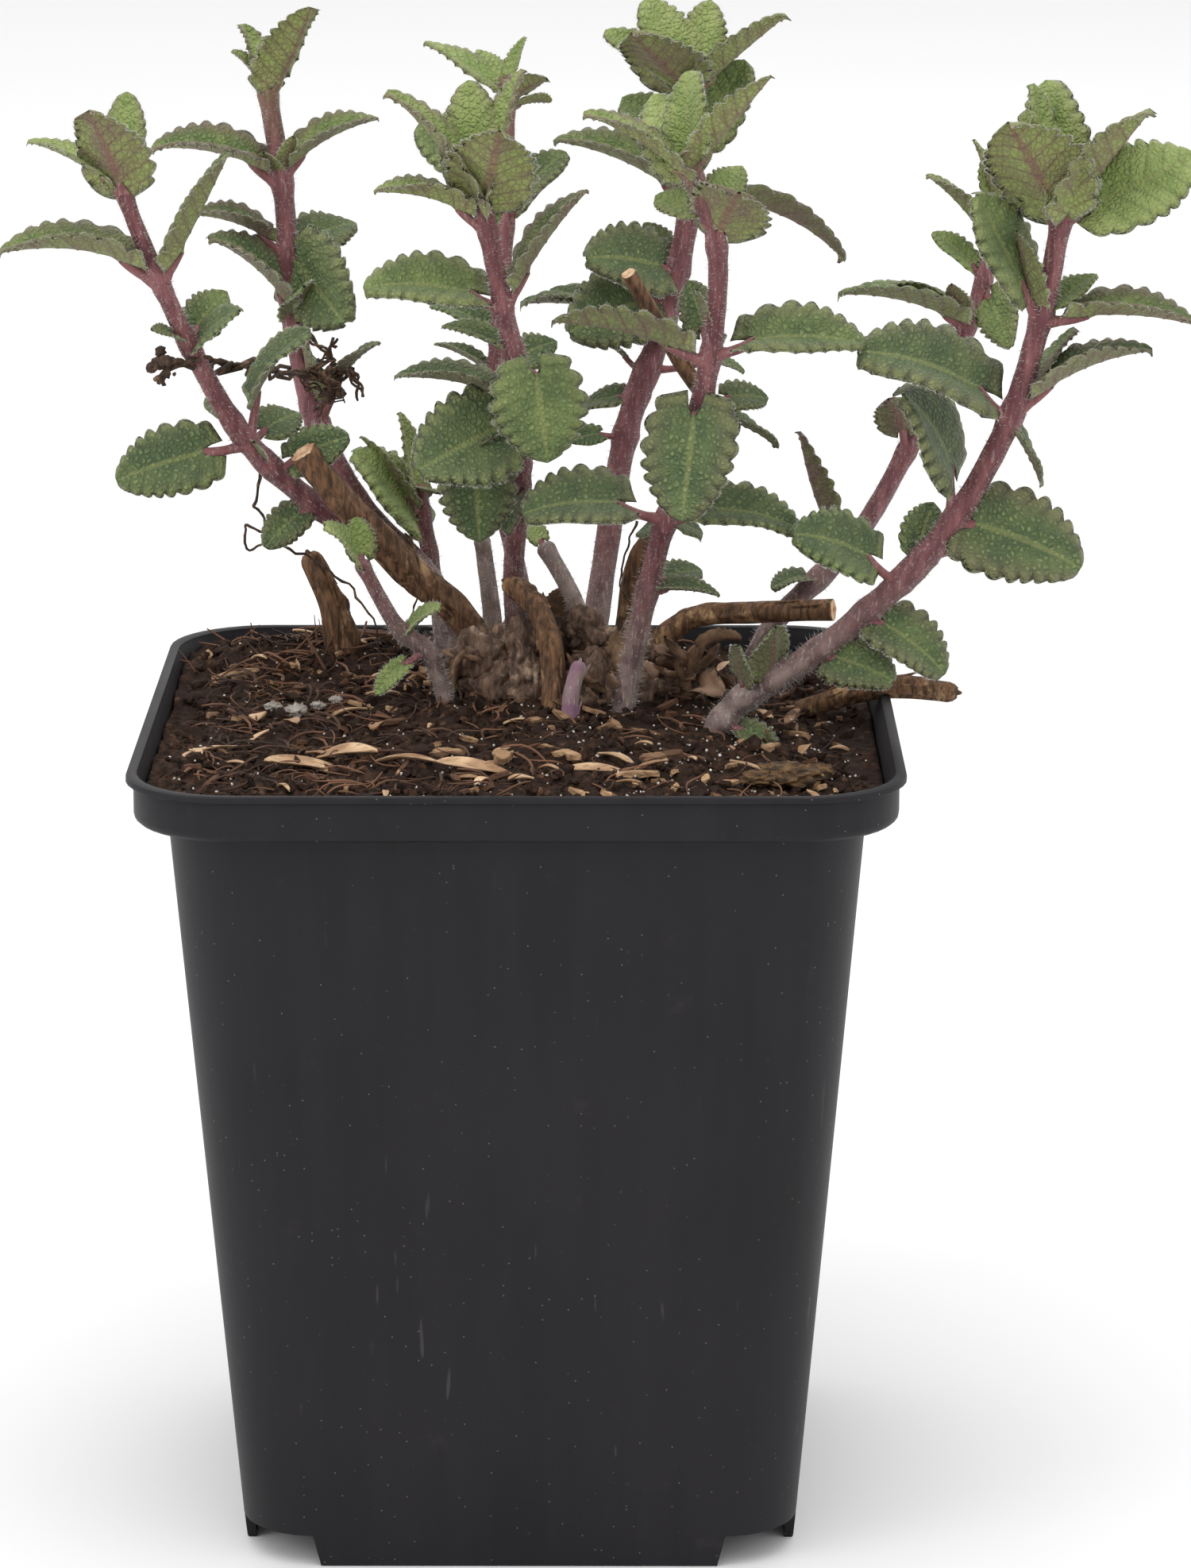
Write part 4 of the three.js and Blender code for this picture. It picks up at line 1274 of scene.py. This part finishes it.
def leaf_under(name):
    under = Finish(name, roughness=0.7, sheen_weight=0.12, sheen_roughness=0.6)
    spot = under.attribute("leaf_spot")
    life = under.attribute("leaf_life")
    across = under.size_of(under.part_of(spot, "X"))
    along = under.part_of(spot, "Y")
    blush = under.part_of(life, "Y")
    youth = under.part_of(life, "X")
    place = under.object_place()
    veins = side_veins(under, place, along, across, 0.07)
    net = under.cells(place, 1400, "DISTANCE_TO_EDGE")
    fuzz = under.noise(place, 2400, 4, 0.7)
    soft = under.noise(place, 300, 3)
    rib = 1 - under.fade(veins, 0.06, 0.42)
    midrib = 1 - under.fade(across, 0.05, 0.14)
    small_veins = 1 - under.fade(net, 0.02, 0.16)
    pale = under.blend(youth, colour(104, 112, 68), colour(138, 152, 80))
    lobes = under.fade(across, 0.55, 0.9) * under.fade(veins, 0.25, 0.8)
    pale = under.blend(lobes * 0.7, pale, colour(146, 156, 92))
    dusky = under.blend(
        blush * under.fade(soft, 0.3, 0.7) * (1 - 0.6 * lobes) * 0.85, pale, colour(112, 88, 76))
    lined = under.blend(small_veins * 0.35, dusky, colour(96, 66, 56))
    lined = under.blend(rib * (1 - 0.5 * across) * 0.6, lined, colour(98, 60, 58))
    lined = under.blend(midrib * 0.6, lined, colour(118, 70, 68))
    downy = under.blend(under.fade(fuzz, 0.56, 0.72) * 0.35, lined, colour(190, 188, 160))
    under.feed("Base Color", under.blend(
        under.fade(across, 0.9, 0.99) * 0.5, downy, colour(206, 204, 184)))
    under.relief(fuzz * 0.5 + small_veins * 0.5, 0.28, 0.75)
    return under


green_top = leaf_top("leaf_upper_face")
pale_under = leaf_under("leaf_lower_face")
stalk_skin = stem_finish("leaf_stalk", colour(116, 66, 66), colour(130, 100, 88), -50, -20)

# Blades shorter than each length, in millimetres, get this many rings and columns.
LEAF_GRIDS = ((5, (34, 14)), (9, (56, 18)), (math.inf, (78, 22)))
LARGE_BLADE = 9
SMALL_BLADE = 5
# Height below the stem's tip over which the leaves grow old, in millimetres.
AGEING_HEIGHT = 26
HAIRS_SMALL = 30
HAIRS_LARGE = 110
HAIRS_STALK = 24

for stem_name, rows in LEAVES.items():
    stem = STEMS[stem_name]
    leaves = bmesh.new()
    spot_layer = leaves.verts.layers.float_vector.new("leaf_spot")
    life_layer = leaves.verts.layers.float_vector.new("leaf_life")
    roots = []
    top_height = stem.places[-1].z
    for index, row in enumerate(rows):
        height, heading, blade, roll, fold = (row[i] for i in (0, 1, 4, 6, 7))
        small = blade < SMALL_BLADE
        ring_rows, columns = next(grid for limit, grid in LEAF_GRIDS if blade < limit)
        seed = stem_name + str(index)
        places, marks, stalk_rows = blade_rings(row, stem, ring_rows, columns, seed)
        own = random.Random(seed + "life")
        youth = 1 - (top_height - height) / AGEING_HEIGHT
        youth = min(1, max(0, youth + own.uniform(-0.15, 0.15)))
        turned_away = roll * math.cos(math.radians(heading)) < 0
        blush = own.uniform(0, 0.5) + (0.5 if fold > 35 or turned_away else 0)
        life = np.broadcast_to(np.array([youth, min(1, blush), 0]), marks.shape)
        faces = skin(leaves, places, {spot_layer: marks, life_layer: life})
        for number, face in enumerate(faces):
            if face.is_valid:
                ring, column = divmod(number, columns)
                if ring < stalk_rows:
                    face.material_index = 2
                else:
                    face.material_index = 0 if column < columns // 2 else 1
        # Down along the toothed edge and thinly over both faces.
        half = columns // 2
        dense = 1 if blade < LARGE_BLADE else 2
        for ring in range(stalk_rows, ring_rows - 1):
            middle = Vector(places[ring][half // 2])
            for column in (0, half):
                here = Vector(places[ring][column])
                out = (here - middle).normalized()
                step = Vector(places[ring + 1][column]) - here
                for _ in range(dense):
                    lean = out + Vector([own.uniform(-0.6, 0.6) for _ in range(3)])
                    root = here + step * own.random()
                    roots.append((root, lean.normalized(), own.uniform(0.2, 0.45)))
        for _ in range(HAIRS_SMALL if small else HAIRS_LARGE):
            ring = own.randrange(stalk_rows, ring_rows - 1)
            column = own.randrange(0, columns - 1)
            here = Vector(places[ring][column])
            one = Vector(places[ring + 1][column]) - here
            two = Vector(places[ring][column + 1]) - here
            out = two.cross(one)
            if out.length > 1e-6:
                out.normalize()
                lean = out + Vector([own.uniform(-0.8, 0.8) for _ in range(3)])
                roots.append((here, lean.normalized(), own.uniform(0.15, 0.32)))
        for _ in range(HAIRS_STALK):
            ring = own.randrange(0, stalk_rows)
            column = own.randrange(0, columns)
            here = Vector(places[ring][column])
            centre = Vector(np.mean(places[ring], axis=0))
            out = (here - centre).normalized()
            lean = out + Vector([own.uniform(-0.4, 0.4) for _ in range(3)])
            roots.append((here, lean.normalized(), own.uniform(0.25, 0.6)))
    shown = piece("leaves_" + stem_name, leaves, [green_top, pale_under, stalk_skin])
    solids = [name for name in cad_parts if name.startswith("leaf_" + stem_name + "_")]
    if solids:
        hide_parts(*sorted(solids))
    hair_roots["leaves_" + stem_name] = roots

# ---- The down ----
# Fine white hairs on stems, stalks and leaf edges, each a short tapering spike with
# three sides. They give the plant its grey bloom against the light.
HAIR_THICK = 0.022
down_white = Finish("white_down", roughness=0.6)
down_tone = down_white.noise(down_white.object_place(), 300, 2)
down_white.feed("Base Color", down_white.blend(
    down_tone, colour(206, 204, 194), colour(244, 243, 238)))


def hair_shape():
    bm = bmesh.new()
    bmesh.ops.create_cone(
        bm, cap_ends=True, segments=3, radius1=1, radius2=0, depth=1,
        matrix=Matrix.Translation((0, 0, 0.45)))
    bmesh.ops.remove_doubles(bm, verts=bm.verts[:], dist=1e-5)
    return as_mesh(bm)


for grower, roots in hair_roots.items():
    places = []
    for root, lean, length in roots:
        turn = lean.to_track_quat("Z", "Y")
        places.append(Matrix.LocRotScale(
            at(*root), turn, Vector((HAIR_THICK, HAIR_THICK, length)) * MM))
    down = piece("down_on_" + grower, strew(hair_shape(), places), [down_white])

# ---- The dead wood ----
# Last year's stems: dry sticks with dark peeling bark, sawn or snapped off, their ends
# showing pale wood round a soft pith. They grow out of the woody crown.
SAWN_END = [(0.03, 0.96), (0.06, 0.9), (0.07, 0.6), (0.05, 0.28), (-0.1, 0.2), (-0.2, 0)]
SNAPPED_END = [(0.5, 0.85), (0.9, 0.55), (0.7, 0.35), (1.3, 0.15), (1.4, 0)]
SAWN_FACE_RINGS = 5
STICK_ROWS = 70
STICK_COLUMNS = 24


def bark_finish(name, dark, middle, pale):
    bark = Finish(name, roughness=0.82)
    place = bark.object_place()
    fibres = bark.noise(bark.mapped(place, (1500, 1500, 220)), 1, 5, 0.65)
    patches = bark.noise(place, 260, 4)
    flakes = bark.cells(bark.mapped(place, (420, 420, 130)), 1, "DISTANCE_TO_EDGE")
    brown = bark.blend(bark.fade(fibres, 0.35, 0.65), dark, middle)
    bare = bark.blend(bark.fade(patches, 0.56, 0.66) * bark.fade(fibres, 0.35, 0.55), brown, pale)
    cracked = bark.blend((1 - bark.fade(flakes, 0.0, 0.06)) * 0.4, bare, colour(40, 28, 20))
    bark.feed("Base Color", cracked)
    bark.relief(fibres * 0.6 + bark.fade(flakes, 0.0, 0.15) * 0.4, 0.5, 1)
    return bark


brown_bark = bark_finish(
    "brown_bark", colour(70, 48, 32), colour(132, 96, 66), colour(176, 142, 104))
root_bark = bark_finish("root_bark", colour(74, 56, 46), colour(124, 98, 80), colour(170, 144, 122))
purple_skin = stem_finish("purple_stub_skin", colour(116, 74, 100), colour(132, 92, 116), 104, 126)
cut_wood = Finish("cut_wood", roughness=0.8)
cut_place = cut_wood.object_place()
cut_rings = cut_wood.noise(cut_wood.mapped(cut_place, (900, 900, 900)), 1, 4)
cut_wood.feed("Base Color", cut_wood.blend(
    cut_wood.fade(cut_rings, 0.35, 0.65), colour(172, 128, 92), colour(214, 182, 148)))
cut_wood.relief(cut_rings, 0.15, 0.6)

# Name: path from the root, root radius, tip radius, bark, end, how rough.
DEAD_WOOD = {
    "thick_cut_stick": ([
        (-1, 12, 96), (-7, 11, 106), (-13, 9, 112), (-19, 6, 119), (-23, 4.5, 124),
        (-26, 3, 128.5)], 2.0, 1.6, brown_bark, SAWN_END, 0.3),
    "long_cut_stick": ([
        (12, 29, 93), (14, 31, 109), (20, 28, 117), (24, 20, 128), (19, 15, 138),
        (13, 10, 149)], 1.2, 0.95, brown_bark, SAWN_END, 0.15),
    "level_cut_stick": ([
        (13, 14, 98), (20, 15, 105), (29, 11, 107), (38, 8, 108)],
        1.5, 1.3, brown_bark, SAWN_END, 0.18),
    "bark_end": ([
        (34, 10, 94.8), (42, 7, 98.2), (47, 6, 98.8), (52, 5, 98.5)],
        1.1, 1.25, brown_bark, SNAPPED_END, 0.3),
    "snapped_stump": ([
        (-22, 27, 92), (-23, 27, 100), (-24, 27, 105), (-26.5, 27, 110)],
        2.1, 1.2, brown_bark, SNAPPED_END, 0.5),
    "curved_stub": ([
        (3.5, -1, 91), (4, 0, 98), (3.5, 2, 105), (1.5, 5, 109.5), (-1, 7, 111)],
        1.6, 1.4, brown_bark, SNAPPED_END, 0.45),
    "purple_stub": ([
        (6, -3, 92), (6, -3, 99), (7, -2, 103)], 1.1, 0.9, purple_skin, SNAPPED_END, 0.2),
}
for stick_name, (path, wide, narrow, bark, end, rough) in DEAD_WOOD.items():
    stick = Stem(path, wide, narrow, STICK_ROWS)
    stick_mesh = bmesh.new()
    faces = skin(stick_mesh, stick.rings(
        STICK_COLUMNS, ribs=0.03, lumps=rough, grain=0.16, furrows=3.2, end=end))
    if end is SAWN_END:
        for face in faces[-STICK_COLUMNS * SAWN_FACE_RINGS:]:
            if face.is_valid:
                face.material_index = 1
    # Strips of bark stand away from the stick.
    for _ in range(round(40 * rough)):
        index = random.randrange(6, 62)
        run = (stick.places[index + 1] - stick.places[index]).normalized()
        off = run.orthogonal()
        off.rotate(Euler((random.uniform(0, 6.3),) * 3))
        off = (off - run * off.dot(run)).normalized()
        root = stick.places[index] + off * stick.radius(stick.places[index]) * 0.95
        tip = root + run * random.uniform(0.8, 3.2) + off * random.uniform(0.1, 0.7)
        strip = Stem([tuple(root - run), tuple(root), tuple(tip)], 0.3, 0.12, 8)
        skin(stick_mesh, strip.rings(6, lumps=0.5, end=[(1.5, 0)]))
    shown = piece(stick_name + "_look", stick_mesh, [bark, cut_wood])
    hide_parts(stick_name)

# ---- The crown ----
# The woody knot that every stem grows from, knobbly and cracked, with buds and broken
# shoots on it and crumbs of dry earth in its folds.
crown_mesh = bmesh.new()


def knob(bm, centre, radii, rough, fineness, grain=0.35):
    """A lump of wood or earth: a ball pushed in and out unevenly. Millimetres."""
    made = bmesh.ops.create_icosphere(bm, subdivisions=fineness, radius=1)["verts"]
    away = Vector([random.uniform(-50, 50) for _ in range(3)])
    for vert in made:
        out = vert.co.copy()
        push = noise.fractal(out * 1.4 + away, 0.8, 2.1, 5)
        pits = abs(noise.noise(out * 5 + away)) * grain
        out *= 1 + rough * push - pits * rough
        vert.co = at(*(centre[axis] + radii[axis] * out[axis] for axis in range(3)))


knob(crown_mesh, (4, 15, 95.5), (11, 9.5, 5.5), 0.35, 5)
for centre, size in (
        ((-3, 7, 99), 4.2), ((-5, 6, 103), 3.0), ((1, 4.5, 100), 3.8), ((0, 6, 104), 2.8),
        ((6, 3, 98), 3.4),
        ((9, 5, 100), 3.3), ((12, 6, 98), 3.6), ((11, 8, 103), 2.6), ((15, 8, 97), 3.2),
        ((8, 9, 105), 2.6), ((-8, 12, 98), 3.2), ((18, 10, 97), 2.8), ((3, 12, 104), 3.6),
        ((14, 15, 101), 3.4), ((-1, 18, 101), 3.6), ((20, 20, 96), 3.0), ((6, 24, 99), 3.4)):
    wide = size * random.uniform(0.8, 1.1)
    knob(crown_mesh, centre, (wide, wide, size), 0.5, 4)
crown_look = piece("crown_look", crown_mesh, [root_bark])
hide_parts("crown")

# ---- The dead leaves and scales ----
# Last year's leaves and bud scales, dried brown and curled, caught round the crown.
dry_leaf = Finish("dry_leaf", roughness=0.85)
dry_place = dry_leaf.object_place()
dry_mottle = dry_leaf.noise(dry_place, 500, 4)
dry_tone = dry_leaf.noise(dry_place, 120, 2)
dry_brown = dry_leaf.blend(
    dry_leaf.fade(dry_mottle, 0.3, 0.7), colour(84, 62, 46), colour(146, 116, 90))
dry_leaf.feed("Base Color", dry_leaf.blend(
    dry_leaf.fade(dry_tone, 0.5, 0.7) * 0.6, dry_brown, colour(184, 152, 130)))
dry_leaf.relief(dry_mottle, 0.4, 0.9)
DEAD_LEAVES = 64
LITTER_ROOTS = [
    Stem([(4, 13, 94), (4, 13, 99), (4, 13, 106)], 4, 1.5, 20),
    Stem([(-4, 5, 94), (-4, 5, 99), (-4, 5, 104)], 2.5, 1, 20),
    Stem([(12, 4, 94), (12, 4, 98), (12, 4, 102)], 2.5, 1, 20),
    Stem([(20, 8, 94), (20, 8, 97), (20, 8, 100)], 2, 1, 20),
]
litter_mesh = bmesh.new()
for index in range(DEAD_LEAVES):
    row = (
        random.uniform(96, 103), random.uniform(0, 360), random.uniform(-10, 85),
        random.uniform(0.5, 4), random.uniform(2.2, 6), random.uniform(0.4, 0.8),
        random.uniform(-60, 60), random.uniform(10, 60), random.uniform(-60, 110))
    places, _, _ = blade_rings(row, random.choice(LITTER_ROOTS), 20, 10, "dry" + str(index))
    skin(litter_mesh, places)
dead_leaves = piece("dead_leaves", litter_mesh, [dry_leaf])

# ---- The roots and earth caught in the stems ----
# Thin dry roots hanging across the left-hand stems, with crumbs of earth in them.
dry_root = bark_finish("dry_root", colour(44, 31, 22), colour(92, 68, 48), colour(128, 100, 74))
CAUGHT_ROOTS = [
    ([(-43, -4, 138.5), (-41, -4, 140), (-37, 0, 140), (-31, 12, 137), (-26, 26, 133.5),
        (-22, 26, 134), (-20, 26, 131)], 0.3, 4),
    ([(-27, 26, 139), (-24, 26, 136), (-27.5, 26, 133), (-23.5, 27, 131)], 0.2, 3),
    ([(-23, 26, 138), (-25.5, 26, 134), (-22.5, 26, 132), (-26, 26, 129)], 0.2, 3),
    ([(-31.8, 10, 127), (-31.8, 8, 123), (-32.6, 8, 120.8), (-30.9, 8, 119.6), (-31.5, 8, 117.6),
        (-33.6, 8, 118.4), (-33, 8, 115.4), (-29.7, 8, 116), (-25, 8, 114), (-21.2, 8, 111),
        (-18, 9, 106), (-17, 9, 98)], 0.22, 1),
    ([(-14, 6, 118), (-12, 5, 112), (-13.5, 4, 107), (-11, 4, 101), (-12, 4, 96)], 0.16, 1),
    ([(14, 14, 118), (12, 15, 111), (13, 15, 106), (9, 14, 101)], 0.16, 1),
]
EARTH_CRUMBS = 40
root_mesh = bmesh.new()
for path, thick, strands in CAUGHT_ROOTS:
    for strand in range(strands):
        root = Stem(path, thick, thick * 0.5, 60)
        root.places = [
            place + (0.5 + 0.6 * strand) * Vector([
                noise.noise(place * 0.6 + Vector((shift + 3 * strand, 0, 0)))
                for shift in (0, 9, 18)])
            for place in root.places]
        skin(root_mesh, root.rings(6, lumps=0.6, grain=1.5))
for _ in range(EARTH_CRUMBS):
    spot = random.choice([(-42.6, -5, 139.8), (-41.6, -4, 140), (-25, 27, 134), (-23.5, 27, 132)])
    size = random.uniform(0.25, 0.8)
    knob(root_mesh, [c + random.gauss(0, 0.8) for c in spot], (size, size, size), 0.5, 2)
caught = piece("caught_roots", root_mesh, [dry_root])
